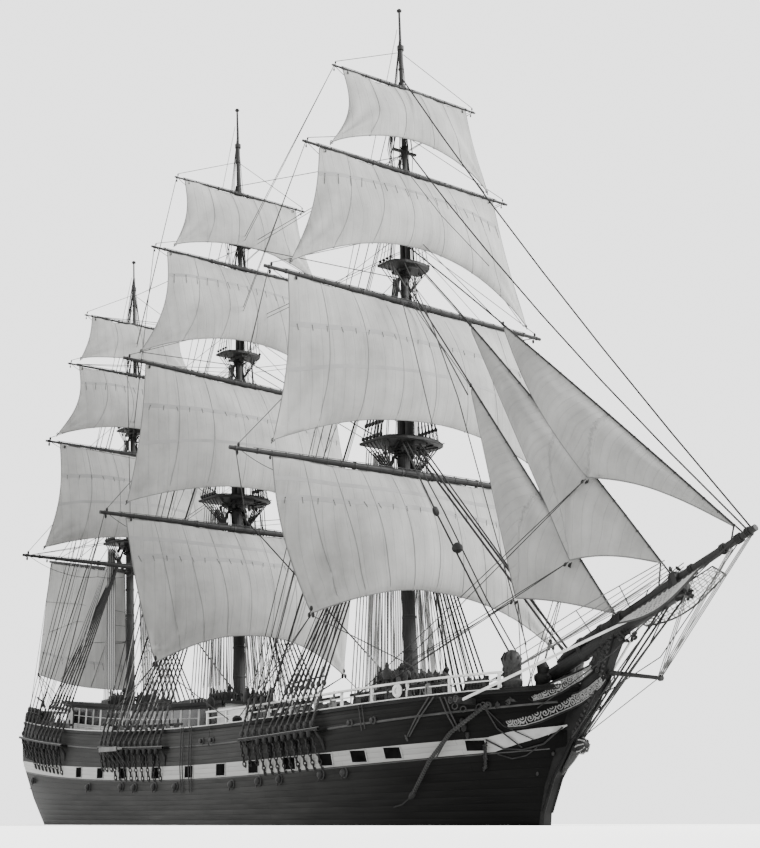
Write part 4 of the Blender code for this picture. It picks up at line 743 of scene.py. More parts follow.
def hull_trim():
    """Rail cap, bulwark lining, wales, ports and the deck's planks."""
    cap = Piece("planksheer", "ship", WHITE, HULL_DARK_PLAIN)
    round_bar = [(-0.005, -0.030), (0.022, -0.022), (0.032, 0.0), (0.022, 0.022), (-0.005, 0.030)]
    for side in (1, -1):
        spots = [(on_rail(lerp(-14.40, 13.60, index / 70), side), Y * side) for index in range(71)]
        for part, paint in ((spots[:68], 0), (spots[67:], 1)):
            cap.strip(part, [(-0.17, 0.006), (0.062, 0.006), (0.072, 0.018), (0.062, 0.030), (-0.17, 0.030)], paint)
            cap.strip([(spot - Z * 0.075, out) for spot, out in part],
                [(0.0, -0.02), (0.068, -0.012), (0.068, 0.012), (0.0, 0.02)], 1)
    cap.box((-14.50, -2.20, rail_z(-14.4) + 0.006), (-14.30, 2.20, rail_z(-14.4) + 0.034), soften=0.01)
    cap.done()
    lining = Piece("bulwark_lining", "ship", INNER_WHITE)
    for side in (1, -1):
        spots = [(Vector((x, side * max(0.15, rail_half(x) - LINING_INSET), rail_z(x))), Y * side)
            for x in (lerp(-14.1, 8.7, step / 60) for step in range(61))]
        lining.strip(spots, [(0.0, 0.004), (-0.006, 0.004), (-0.006, 0.02 - BULWARK), (0.0, 0.02 - BULWARK)])
    lining.done()
    wale = Piece("wales", "ship", HULL_GREY)
    low_bar = [(across * 0.5, lift * 0.6) for across, lift in round_bar]
    for side in (1, -1):
        for level, aft, fore, out, bar in zip(WALES, (-14.32, -14.28), (13.3, 12.8), (0.01, 0.008),
                (round_bar, low_bar)):
            wale.strip(side_spots(level, aft, fore, side, out), bar)
    wale.done()
    frames, holes = Piece("port_frames", "ship", BAND_PLAIN), Piece("ports", "ship", PORT_DARK)
    for side in (1, -1):
        for x in PORT_X:
            low, high = sheer(x, *BAND_LOW[:3]) + 0.035, sheer(x, *BAND_HIGH[:3]) - 0.012
            middle, tall = (low + high) / 2, (high - low) / 2
            yaw = atan2(side * (hull_at(x + PORT_HALF, middle) - hull_at(x - PORT_HALF, middle)), 2 * PORT_HALF)
            lean = atan2(hull_at(x, high) - hull_at(x, low), high - low)
            turn = (Matrix.Translation(Vector((x, side * (hull_at(x, middle) + 0.012), middle)))
                @ Matrix.Rotation(yaw, 4, "Z") @ Matrix.Rotation(-side * lean, 4, "X"))
            holes.box((-PORT_HALF, -0.012, -tall), (PORT_HALF, 0.012, tall), turn)
            mirrored = turn @ Matrix.Scale(side, 4, Y)
            for end in (-1, 1):
                frames.box((end * 0.262 - 0.014, -0.01, -tall - 0.01), (end * 0.262 + 0.014, 0.020, tall + 0.01),
                    mirrored, soften=0.006)
                frames.box((-0.26, -0.01, end * tall - 0.010), (0.26, 0.020, end * tall + 0.010), mirrored,
                    soften=0.006)
    finish(frames, holes)
    deck = Piece("deck_planking", "ship", DECK)
    stations = [DECK_AFT_X + index * (DECK_FORE_X - DECK_AFT_X) / DECK_STATIONS for index in range(DECK_STATIONS + 1)]
    rings = []
    for x in stations:
        half = max(0.10, min(rail_half(x) - DECK_INSET, hull_at(x, deck_z(x)) - 0.05))
        rings.append([Vector((x, y, deck_z(x) + lift)) for y, lift in ((half, 0.003), (half, 0.015), (-half, 0.015),
            (-half, 0.003))])
    deck.rings(rings, stations)
    deck.planks(PLANK_WIDTH)
    deck.done()


# Sails

def billow(across, down):
    side = 2 * across - 1
    return (1 - abs(side) ** 2.4) * (0.62 * sin(pi * down) ** 0.8 + 0.48 * down)


def square_shape(row):
    """Shape of a square sail: place(across, down), both from 0 to 1."""
    mast, sail, below, head, star_half, star_z, port_half, port_z, arch, star_hollow, port_hollow, belly, _ = row
    centre, port, ahead = yard_frame(mast, sail)
    low_port, low_ahead = port, ahead
    foot = centre + X * (-MASTS[mast][1] * (star_z - centre.z)) + ahead * 0.1
    if below:
        foot, low_port, low_ahead = yard_frame(mast, below)
        foot = foot + low_ahead * 0.18

    def place(across, down):
        side = 2 * across - 1
        top = centre + port * (side * head)
        top.z = centre.z - yard_radius(mast, sail, side * head) - SAIL_BELOW_YARD
        low = foot + low_port * (side * (port_half if side > 0 else star_half))
        low.z = lerp(star_z, port_z, across)
        spot = top.lerp(low, down)
        spot.z += arch * (1 - side * side) * down ** 1.6
        pull = port_hollow if side > 0 else star_hollow
        spot -= port * (pull * sin(pi * down) * side)
        return spot + ahead.lerp(low_ahead, down) * (belly * billow(across, down))

    return place


def stay_line(name):
    """Points of a curved stay: a function of the share of its run from the jibboom up."""
    spar, upper_z, foot_x, bow = HEAD_STAYS[name]
    lower = boom_point(foot_x)
    if spar is None:
        upper = crosstrees_centre("fore") + X * (CROSSTREES_WIDTH["fore"] * 0.64)
    else:
        upper = axis("fore", spar, upper_z)
    course = (upper - lower).normalized()
    ahead = Vector((course.z, 0.0, -course.x))

    def on_stay(share):
        return lower.lerp(upper, share) + ahead * (bow * 4 * share * (1 - share))

    return lower, upper, ahead, on_stay


def headsail_shape(row):
    _, stay, head_x, tack_x, clew_x, clew_y, clew_z, roach, arch = row
    lower, upper, ahead, on_stay = stay_line(stay)
    below = -ahead

    def luff_point(x):
        share = (x - lower.x) / (upper.x - lower.x)
        return on_stay(share) + below * 0.034

    head, clew = luff_point(head_x), Vector((clew_x, clew_y, clew_z))
    peak = head + (clew - head).normalized() * 0.10 + below * 0.05

    def place(across, down):
        luff, leech = luff_point(lerp(head_x, tack_x, down)), peak.lerp(clew, down)
        leech.x -= roach * sin(pi * down)
        spot = luff.lerp(leech, across)
        full = sin(pi * across) ** 0.9 * sin(pi * min(1.0, 0.25 + 0.65 * down))
        spot.y -= 0.38 * full * min(1.0, down * 1.6)
        spot.z += arch * sin(pi * across) * down ** 3
        return spot

    return place


def gaff_line(along):
    turn = DRIVER_SWING
    return axis("mizzen", 0, GAFF_Z) + Vector((-cos(turn) * along, -sin(turn) * along,
        (GAFF_PEAK_Z - GAFF_Z) * along / GAFF_LENGTH))


def driver_foot(along, z):
    return axis("mizzen", 0, z) - Vector((cos(DRIVER_SWING), sin(DRIVER_SWING), 0)) * along


def driver_shape():
    side = Vector((-sin(DRIVER_SWING), cos(DRIVER_SWING), 0))

    def place(across, down):
        along = 0.29 + (GAFF_LENGTH - 0.37) * across
        head = gaff_line(along) - Z * (0.095 - 0.03 * along / GAFF_LENGTH)
        foot = driver_foot(0.25 + (DRIVER_FOOT - 0.25) * across, lerp(DRIVER_TACK_Z, DRIVER_CLEW_Z, across))
        spot = head.lerp(foot, down)
        full = sin(pi * across) * sin(pi * min(1.0, 0.1 + 0.8 * down))
        spot -= side * (0.35 * full * down ** 0.5)
        spot.z -= 0.15 * sin(pi * across) * down ** 3
        return spot

    return place


CLOTH_HALF = 0.007  # half the thickness of a sail


class Cloth:
    """A sail's surface: its shape with ripples, and pieces that lie on it."""

    def __init__(self, name, body, shape, ripple, columns, rows, front=1):
        self.name, self.body, self.shape, self.ripple = name, body, shape, ripple
        self.columns, self.rows, self.front, self.extras = columns, rows, front, []
        self.wide = (shape(0, 0.5) - shape(1, 0.5)).length
        self.tall = (shape(0.5, 0) - shape(0.5, 1)).length

    def normal(self, across, down):
        step = 0.01
        right = self.shape(min(1, across + step), down) - self.shape(max(0, across - step), down)
        fall = self.shape(across, min(1, down + step)) - self.shape(across, max(0, down - step))
        made = fall.cross(right)
        if made.length < 1e-9:
            return X * self.front
        return made.normalized() * self.front

    def at(self, across, down, out=0.0):
        return self.shape(across, down) + self.normal(across, down) * (self.ripple(across, down) + out)

    def flat(self, across, down):
        half = (self.shape(0, down) - self.shape(1, down)).length / 2
        return (2 * across - 1) * half + 50.0, down * self.tall

    def sheet(self, flat_uv=None):
        flat_uv = flat_uv or self.flat
        made = Piece(self.name, self.body, CANVAS if self.body in ("ship", "driver") else SQUARE_CANVAS)
        rows, flats = [], []
        for out in (CLOTH_HALF, -CLOTH_HALF):
            for row in range(self.rows + 1):
                down = row / self.rows
                line = [column / self.columns for column in range(self.columns + 1)]
                rows.append([self.at(across, down, out) for across in line])
                flats.append([flat_uv(across, down) for across in line])
        half = self.rows + 1
        made.grid(rows[:half], flats[:half])
        first = len(made.points)
        made.grid([list(reversed(row)) for row in rows[half:]], [list(reversed(row)) for row in flats[half:]])
        wide = self.columns + 1
        border = [(0, column) for column in range(wide)] + [(row, wide - 1) for row in range(1, half)]
        border += [(half - 1, column) for column in range(wide - 2, -1, -1)] + [(row, 0)
            for row in range(half - 2, 0, -1)]
        for here, there in zip(border, border[1:] + border[:1]):
            near, far = here[0] * wide + here[1], there[0] * wide + there[1]
            near_back = first + here[0] * wide + wide - 1 - here[1]
            far_back = first + there[0] * wide + wide - 1 - there[1]
            made.face((near, near_back, far_back, far), [flat_uv(here[1] / self.columns, here[0] / self.rows)] * 4)
        return made.done(angle=70)

    def edge_rope(self, radius):
        made = Piece(self.name + "_bolt_rope", self.body, PALE_ROPE)
        line = [(step / 24, 0) for step in range(25)] + [(1, step / 20) for step in range(1, 21)]
        line += [(step / 24, 1) for step in range(23, -1, -1)] + [(0, step / 20) for step in range(19, -1, -1)]
        made.tube([self.at(across, down) for across, down in line], radius, 5)
        self.extras.append(made.done("canvas"))

    def band(self, down, height=0.13, name="reef_band"):
        made = Piece("%s_%s_%d" % (self.name, name, round(down * 100)), self.body, BAND_CLOTH)
        half = height / 2 / self.tall
        front = CLOTH_HALF + 0.004
        rings, along = [], []
        for step in range(41):
            across = step / 40
            rings.append([self.at(across, down + end * half, out)
                for end, out in ((-1, CLOTH_HALF), (-1, front), (1, front), (1, CLOTH_HALF))])
            along.append(across * self.wide)
        made.rings(rings, along)
        self.extras.append(made.done())

    def down_lines(self, shares, radius):
        made = Piece(self.name + "_buntlines", self.body, PALE_ROPE)
        for across in shares:
            made.tube([self.at(across, step / 18, CLOTH_HALF + radius * 0.7) for step in range(19)], radius, 5)
            made.turned(self.at(across, 1.0, 0.012), -Z, ((0.012, -0.02), (0.028, 0), (0.012, 0.03)), 6)
        self.extras.append(made.done())

    def reef_points(self, down, spacing, length=0.13):
        made = Piece("%s_reef_points_%d" % (self.name, round(down * 100)), self.body, HEMP)
        wide = (self.shape(0, down) - self.shape(1, down)).length
        count = int(wide / spacing)
        for index in range(count):
            across = (index + 0.5) / count
            swing = RANDOM.uniform(-0.05, 0.05)
            top = self.at(across, down, 0.012)
            low = self.at(min(1, max(0, across + swing / wide)), down + length / self.tall, 0.014)
            made.tube([top, top.lerp(low, 0.5) + self.normal(across, down) * 0.004, low], 0.0065, 4)
            made.turned(top, self.normal(across, down), ((0.010, -0.004), (0.017, 0.004), (0.010, 0.014)), 6)
        self.extras.append(made.done())

    def declare(self, length):
        """Hides the sail's CAD node; the loop over the surface's cells keeps no result."""
        def spot(column, row):
            return self.shape(column / 24, row / 24)

        for row in range(24):
            for column in range(24):
                fall = spot(column + 1, row + 1) - spot(column, row)
                rise = spot(column, row + 1) - spot(column + 1, row)
        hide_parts(self.name.replace("_cloth", ""))


def ripples(wide, tall, clews, panels, seed, depth=1.0):
    """Small relief of a sail: panels between its lines, folds out of its clews, gathers along its head."""
    phases = [random.Random(seed + step).uniform(0, 6.28) for step in range(8)]

    def relief(across, down):
        u, v = (across - 0.5) * wide, down * tall
        edge = sin(pi * min(1, max(0, across))) ** 0.5
        made = 0.018 * edge * sin(pi * down) ** 0.5 * abs(sin(pi * panels * across))
        made += 0.012 * exp(-v / 0.45) * cos(2 * pi * u / 0.47 + phases[0]) * edge
        made += 0.018 * sin(u * 1.9 + v * 0.8 + phases[1]) * sin(v * 1.3 + phases[2]) * edge
        made += 0.004 * sin(u * 5.3 - v * 2.1 + phases[3]) * edge
        for index, (place_u, place_v, folds, strength) in enumerate(clews):
            away = hypot(u - place_u * wide, v - place_v * tall)
            turn = atan2(v - place_v * tall, u - place_u * wide)
            made += (1.8 * strength * exp(-away / 2.6) * min(1.0, away / 0.35)
                * sin(folds * turn + phases[4 + index % 4]))
        return made * depth

    return relief


def mitred(cloth):
    """Flat positions of a three-cornered sail: cloths run square to the leech above the mitre, to the foot below."""
    head, tack, clew = cloth.shape(0, 0), cloth.shape(0, 1), cloth.shape(1, 1)
    leech, foot = (clew - head).normalized(), (tack - clew).normalized()
    middle = (head + tack) / 2 - clew

    def flat(across, down):
        spot = cloth.shape(across, down) - clew
        above = spot.x * middle.z - spot.z * middle.x
        along = leech if above < 0 else foot
        return spot.dot(along) + (50.0 if above < 0 else 80.0), (spot - along * spot.dot(along)).length

    return flat


def square_sails():
    for index, row in enumerate(SQUARE_SAILS):
        mast, sail = row[:2]
        shape = square_shape(row)
        course = sail == "course"
        wide = (shape(0, 0.5) - shape(1, 0.5)).length
        tall = (shape(0.5, 0) - shape(0.5, 1)).length
        strength = 0.055 if course else 0.028
        relief = ripples(wide, tall, ((-0.5, 1.0, 9, strength), (0.5, 1.0, 8, strength * 0.7)), row[-1] + 1, 31 * index)
        cloth = Cloth("%s_%s_sail_cloth" % (mast, sail), yard_body(mast, sail), shape, relief, 60, 44)
        made = cloth.sheet()
        cloth.edge_rope(0.02 if course else 0.016)
        lines_down = row[-1]
        cloth.down_lines([(step + 1) / (lines_down + 1) for step in range(lines_down)], 0.007)
        if course:
            cloth.band(0.14, 0.10, "head_band")
            cloth.band(0.27)
            cloth.reef_points(0.27, 0.40)
        elif sail == "topsail":
            cloth.band(0.30)
            cloth.reef_points(0.30, 0.40)
            cloth.band(0.58, 0.10, "belly_band")
        elif sail == "topgallant":
            cloth.band(0.22, 0.09)
            cloth.reef_points(0.22, 0.36, 0.24)
        cloth.declare((shape(0, 0) - shape(0, 1)).length)


def fore_and_aft_sails():
    for index, row in enumerate(HEADSAILS):
        shape = headsail_shape(row)
        luff = (shape(0, 0) - shape(0, 1)).length
        foot = (shape(0, 1) - shape(1, 1)).length
        relief = ripples(foot, luff, ((0.5, 1.0, 8, 0.03), (-0.5, 1.0, 6, 0.012)), 1, 400 + index, 0.9)

        def calm(across, down, relief=relief):
            return relief(across, down) * min(1.0, down * 4) * min(1.0, across * 6)

        cloth = Cloth(row[0] + "_cloth", "ship", shape, calm, 40, 56, -1)
        made = cloth.sheet(mitred(cloth))
        cloth.edge_rope(0.018)
        hanks = Piece(row[0] + "_hanks", "ship", IRON)
        lower, upper, ahead, _ = stay_line(row[1])
        for step in range(int(luff / 0.55) + 1):
            spot = cloth.shape(0, min(1.0, (step + 0.1) * 0.55 / luff))
            hanks.loop(spot + ahead * 0.018, upper - lower, 0.040, 0.006, 8)
        cloth.extras.append(hanks.done())
        cloth.declare(luff)
    shape = driver_shape()
    luff, foot = (shape(0, 0) - shape(0, 1)).length, (shape(0, 1) - shape(1, 1)).length
    relief = ripples(foot, luff, ((0.5, 1.0, 8, 0.03), (-0.5, 1.0, 6, 0.02)), 1, 500)
    cloth = Cloth("driver_sail_cloth", "driver", shape, relief, 52, 44, -1)
    made = cloth.sheet()
    cloth.edge_rope(0.018)
    cloth.band(0.80, 0.10)
    cloth.reef_points(0.80, 0.45, 0.24)
    cloth.declare((shape(1, 0) - shape(1, 1)).length)


# Spars and what hangs on them

def yard_gear():
    """Robands, jackstay, footropes, bands, blocks and lifts of each yard."""
    for (mast, sail), (z, length, _, _) in YARDS.items():
        body, name, heavy = yard_body(mast, sail), "%s_%s_" % (mast, sail), sail in ("course", "topsail")
        _, port, ahead = yard_frame(mast, sail)
        half = length / 2

        def point(share, lift=0.0, out=0.0):
            return yard_point(mast, sail, share, lift, out)

        def radius(share):
            return yard_radius(mast, sail, share * half)

        iron, ropes = Piece(name + "yard_irons", body, IRON), Piece(name + "yard_ropes", body, HEMP)
        blocks = Piece(name + "yard_blocks", body, BLOCK_WOOD)
        for share in (-0.97, -0.86, -0.35, -0.09, 0.09, 0.35, 0.86, 0.97):
            iron.hoop(point(share) - port * 0.03, port, radius(share), 0.06, 12, 0.004)
        count = int(length * 0.86 / 0.42)
        for index in range(count + 1):
            share = lerp(-0.86, 0.86, index / count)
            ropes.loop(point(share), port, radius(share) + 0.006, 0.008, 10)
            iron.turned(point(share + 0.2 / length, radius(share) * 0.9), Z, ((0.008, 0), (0.008, 0.034)), 5)
        iron.tube([point(share, radius(share) + 0.024) for share in (lerp(-0.88, 0.88, step / 10)
            for step in range(11))], 0.009, 5)
        for side in (-1, 1):
            stirrups = max(2, round(half / 1.5))
            posts = []
            for step in range(stirrups + 1):
                share = side * lerp(0.04, 0.94, step / stirrups)
                top = point(share, 0.0, -radius(share) - 0.004)
                drop = 0.0 if step == stirrups else (0.30 if step == 0 else 0.48)
                posts.append(top - Z * drop - ahead * 0.02)
                if drop:
                    ropes.tube([top + Z * 0.02, posts[-1]], 0.007, 4)
            for near, far in zip(posts, posts[1:]):
                ropes.tube(sagging(near, far, 0.07, 6), 0.010, 5)
            size = 0.055 if heavy else 0.036
            for share, lift, out in ((0.955, -0.10, -0.07), (0.80, -0.13, 0.05), (0.955, 0.10, 0.0),
                    (0.10, -0.20, 0.0), (0.17, -0.19, -0.04)):
                spot = point(side * share, lift, out)
                blocks.block(spot, Z, size * (1.0 if share < 0.9 else 1.15))
                ropes.tube([spot + Z * (size * copysign(0.9, -lift)), point(side * share)], 0.009, 4)
            cap = {"course": MASTS[mast][4] - 0.22, "topsail": MASTS[mast][5] - 0.16, "topgallant": z + 1.35,
                "royal": z + 1.30}[sail]
            hang = axis(mast, yard_axis(sail), cap) + port * (side * 0.10)
            ropes.tube([point(side * 0.955) + Z * 0.14, hang], 0.011, 5)
            if heavy:
                ropes.tube([point(side * 0.52, radius(0.52)), hang], 0.009, 5)
        finish(iron, ropes, blocks)


def outline_of(centre, half_length, half_width, nose):
    """Outline of a top or of crosstrees: square aft and rounded ahead."""
    front = half_length - nose
    spots = [(-half_length, -half_width), (front, -half_width)]
    spots += [(front + nose * cos(turn), half_width * sin(turn))
        for turn in (-pi / 2 + pi * step / 10 for step in range(1, 10))]
    spots += [(front, half_width), (-half_length, half_width), (-half_length, -half_width)]
    return [centre + Vector((ahead, across, 0.0)) for ahead, across in spots]


def hung_block(blocks, ropes, spot, drop, size, thick):
    """A block that hangs by a short rope."""
    blocks.block(spot, Z, size)
    ropes.tube([spot, spot + Z * drop], thick, 4)


def mast_details():
    """Hoops, lashings and trucks of the masts, rims, battens and blocks of the tops and crosstrees."""
    hoops, tops = Piece("mast_hoops", "ship", IRON), Piece("tops", "ship", SPAR)
    blocks, ropes = Piece("top_blocks", "ship", BLOCK_WOOD), Piece("top_lashings", "ship", TARRED)
    for mast, (_, _, top, cap, cross, _, small, truck, low_r, top_r, gallant_r) in MASTS.items():
        course = (axis(mast, 0, 5.0) - axis(mast, 0, 4.0)).normalized()
        z = 3.6
        while z < top - 1.2:
            hoops.hoop(axis(mast, 0, z), course, low_r * (1 - 0.1 * (z - 2.3) / (top - 2.7)), 0.07, 16)
            z += 0.95
        for level in (0.2, 0.4, 0.6, 0.8):
            hoops.hoop(axis(mast, 1, lerp(cap, cross - 0.3, level)), course, top_r * (1 - 0.12 * level), 0.06, 14)
        for level in (0.15, 0.5, 0.85):
            hoops.turned(axis(mast, 2, lerp(small, truck - 1.6, level)), course,
                ((gallant_r * 0.9, 0), (gallant_r + 0.006, 0.005), (gallant_r + 0.006, 0.035),
                (gallant_r * 0.9, 0.04)), 12)
        width = TOP_WIDTH[mast]
        centre = (axis(mast, 0, top) + axis(mast, 1, top)) / 2
        tops.tube(outline_of(centre, 0.75 * width, width, 0.62 * width), 0.045, 8)
        tops.tube(outline_of(centre + Z * 0.075, 0.70 * width, width * 0.93, 0.58 * width), 0.014, 5)
        for step in range(-5, 6):
            y = step * width / 5.6
            tops.box((centre.x - 0.72 * width, y - 0.02, top + 0.036),
                (centre.x + 0.50 * width, y + 0.02, top + 0.058), soften=0.006)
        for step in range(-3, 4):
            y = step * width * 0.28
            tops.tube([axis(mast, 0, top - 0.10) + Y * (y * 0.5),
                centre + Vector((0.6 * width * cos(step * 0.35), y, -0.05))], 0.022, 5)
        reach = CROSSTREES_WIDTH[mast]
        cross_at = crosstrees_centre(mast)
        tops.tube(outline_of(cross_at, 0.55 * reach, reach, 0.60 * reach), 0.040, 7)
        for side in (-1, 1):
            for step in range(3):
                ropes.loop(axis(mast, 1, cross - 0.16 - 0.07 * step), course, top_r + 0.035, 0.026, 12)
                ropes.loop(axis(mast, 0, top - 0.16 - 0.09 * step), course, low_r + 0.045, 0.036, 14)
                ropes.loop(axis(mast, 2, small + 0.05 + 0.05 * step), course, gallant_r + 0.014, 0.016, 10)
            for ahead, across, drop, size in ((0.30, 0.35, -0.24, 0.085), (0.05, 0.60, -0.22, 0.075),
                    (-0.35, 0.45, -0.24, 0.085), (0.45, 0.12, -0.34, 0.09)):
                spot = centre + Vector((ahead * width, side * across * width, drop))
                hung_block(blocks, ropes, spot, -drop, size, 0.014)
            for ahead, across in ((0.2, 0.5), (-0.3, 0.45), (-0.05, 0.8)):
                spot = cross_at + Vector((ahead * reach, side * across * reach, -0.17))
                hung_block(blocks, ropes, spot, 0.15, 0.055, 0.010)
        tops.turned(axis(mast, 2, truck - 0.10), course, ((0.04, 0), (0.075, 0.02), (0.08, 0.06), (0.05, 0.10)), 12)
    finish(hoops, tops, blocks, ropes)


# Standing rigging

RATLINE_FOOT_Z, RATLINE_STEP, UPPER_RATLINE_STEP = 5.35, 0.22, 0.20
# columns: x of the foremost and aftermost shroud at the channel, shrouds a side, x of each backstay
SHROUDS = {
    "fore": (6.95, 4.85, 8, (4.50, 4.15, 3.80, 3.50)),
    "main": (-1.45, -4.20, 8, (-4.55, -4.90, -5.25, -5.55)),
    "mizzen": (-9.35, -12.00, 7, (-12.45, -12.85, -13.25, -13.65)),
}


def channel_z(x):
    return sheer(x, *CHANNEL_LEVEL) + 0.06


def deadeye(piece, spot, course, size):
    piece.turned(spot - course * 0.04, course, ((size * 0.7, 0), (size, 0.016), (size, 0.064), (size * 0.7, 0.08)), 12)


def lanyard(piece, low, high, side, gap, size, turns=5):
    """Laid strands between two deadeyes, frapped round each other."""
    for phase in range(3):
        spots = []
        for step in range(turns * 2 + 1):
            share = step / (turns * 2)
            swing = cos(pi * step + phase * 2.1) * gap * 0.5 + (phase - 1) * gap * 0.45
            spots.append(low.lerp(high, share) + Vector((swing, side * 0.02 * (phase - 1), 0)))
        piece.tube(spots, size, 4)


def rungs(piece, pairs, low, high, step, size, reach=0.0):
    """Ratlines from one height to another across a gang; reach runs them past its outer shrouds."""
    z = low
    while z < high:
        row = [foot + (head - foot) * ((z - foot.z) / (head.z - foot.z)) for foot, head in pairs]
        piece.tube(widened(row, reach) if reach else row, size, 4)
        z += step


def widened(row, reach):
    return [row[0] + (row[0] - row[1]) * reach] + row + [row[-1] + (row[-1] - row[-2]) * reach]


def shroud_gang(mast, side, parts):
    """Lower shrouds of one side with deadeyes, lanyards and chains, and the backstays behind them."""
    first, last, count, backs = SHROUDS[mast]
    top, cross, small = MASTS[mast][2], MASTS[mast][4], MASTS[mast][6]
    shrouds, ratlines, lanyards, eyes, plates, served = parts
    heads = [axis(mast, 0, top - 0.16) + Vector((-0.04, side * 0.20, 0))] * count
    heads += [axis(mast, spar, z) + Y * (side * 0.10) for spar, z in ((1, cross - 0.05), (2, small - 0.02),
        (2, small + 1.1), (2, small + (1.7 if mast == "mizzen" else 2.3)))]
    places = [lerp(first, last, index / (count - 1)) for index in range(count)] + list(backs)
    out, gang = Y * side, []
    for x, head, size in zip(places, heads, [0.026] * count + [0.021, 0.017, 0.014, 0.013]):
        heavy = size > 0.02
        foot = Vector((x, side * (rail_half(x) + CHANNEL_OUT), channel_z(x)))
        course = (head - foot).normalized()
        low, high = foot + course * 0.15, foot + course * (1.28 if heavy else 1.05)
        deadeye(eyes, low, out, 0.078)
        deadeye(eyes, high, out, 0.078)
        lanyard(lanyards, low, high, side, 0.066, 0.025)
        shrouds.tube([high, head], size, 6)
        served.tube([high + course * 0.06, high + course * 0.50], size * 1.35, 6)
        for step in range(4):
            served.loop(high + course * (0.14 + 0.11 * step), course, size * 1.4, 0.006, 8)
        shrouds.loop(high, out, 0.074, 0.018, 12)
        low_z = foot.z - (0.98 if heavy else 0.72)
        hull_low = Vector((x - 0.05, side * (hull_at(x, low_z) + 0.045), low_z))
        plates.loop(foot + course * 0.13, out, 0.080, 0.016, 12)
        plates.chain(foot - Z * 0.02, hull_low, 0.080, 0.019)
        plates.turned(hull_low - out * 0.05, out, ((0.055, 0), (0.055, 0.022), (0.03, 0.05)), 8)
        if heavy:
            eyes.turned(foot - Vector((0, -side * 0.03, 0.10)), -Z,
                ((0.05, -0.05), (0.075, 0.0), (0.06, 0.09), (0.03, 0.12)), 8)
        gang.append((high, head))
    gang = gang[:count]
    rungs(ratlines, gang, RATLINE_FOOT_Z, top - 0.9, RATLINE_STEP, 0.0085, 0.12)
    batten = [high + (head - high).normalized() * 0.20 + Y * (side * 0.03) for high, head in gang]
    shrouds.tube(widened(batten, 0.3), 0.022, 6)


def upper_gangs(mast, side, parts):
    """Topmast shrouds from the rim of the top, futtock shrouds, topgallant and royal shrouds."""
    shrouds, ratlines, lanyards, eyes, _, served = parts
    top, _, cross, _, small, truck = MASTS[mast][2:8]
    width, out = TOP_WIDTH[mast], Y * side
    centre = (axis(mast, 0, top) + axis(mast, 1, top)) / 2
    number, rows = (6 if mast != "mizzen" else 5), []
    futtock = axis(mast, 0, top - 1.15) + Y * (side * 0.17)

    def rim_at(index, lift):
        return centre + Vector((lerp(0.15, -0.68, index / (number - 1)) * width, side * (width - 0.03), lift))

    for index in range(number):
        rim = rim_at(index, 0.05)
        head = axis(mast, 1, cross - 0.18) + Vector((-0.02, side * 0.12, 0))
        course = (head - rim).normalized()
        low, high = rim + course * 0.08, rim + course * 0.48
        deadeye(eyes, low, out, 0.062)
        deadeye(eyes, high, out, 0.062)
        lanyard(lanyards, low, high, side, 0.036, 0.011, 3)
        shrouds.tube([high, head], 0.018, 5)
        served.tube([high, high + course * 0.26], 0.028, 5)
        rows.append((high, head))
        shrouds.tube([rim - Z * 0.05, futtock], 0.020, 5)
    for step in range(4):
        ratlines.tube([rim_at(index, 0.0).lerp(futtock, 0.2 + 0.2 * step) for index in range(number)], 0.008, 4)
    rungs(ratlines, rows, top + 0.72, cross - 0.5, UPPER_RATLINE_STEP, 0.007)
    reach, centre, rows = CROSSTREES_WIDTH[mast], crosstrees_centre(mast), []
    for ahead in (0.25, 0.0, -0.25, -0.50):
        rim = centre + Vector((ahead * reach, side * reach * 0.97, 0.03))
        head = axis(mast, 2, small - 0.06) + Y * (side * 0.08)
        shrouds.tube([rim, head], 0.012, 5)
        deadeye(eyes, rim + (head - rim).normalized() * 0.10, out, 0.038)
        shrouds.tube([rim, axis(mast, 1, cross - 0.85) + Y * (side * 0.11)], 0.014, 5)
        rows.append((rim, head))
    rungs(ratlines, rows, cross + 0.4, small - 0.6, UPPER_RATLINE_STEP, 0.006)
    head = axis(mast, 2, min(truck - 1.3, small + 2.5))
    for ahead, across in ((-0.14, 0.42), (-0.20, 0.46), (-0.26, 0.36), (-0.34, 0.24), (-0.40, 0.12)):
        foot = axis(mast, 2, small + 0.02) + Vector((ahead, side * across, 0.0))
        shrouds.tube([foot, head + Y * (side * 0.04)], 0.013, 5)
        shrouds.tube([foot, axis(mast, 2, cross + 1.0) + Y * (side * 0.08)], 0.010, 4)
        shrouds.tube([foot, head.lerp(axis(mast, 2, truck - 0.4), 0.8)], 0.009, 4)


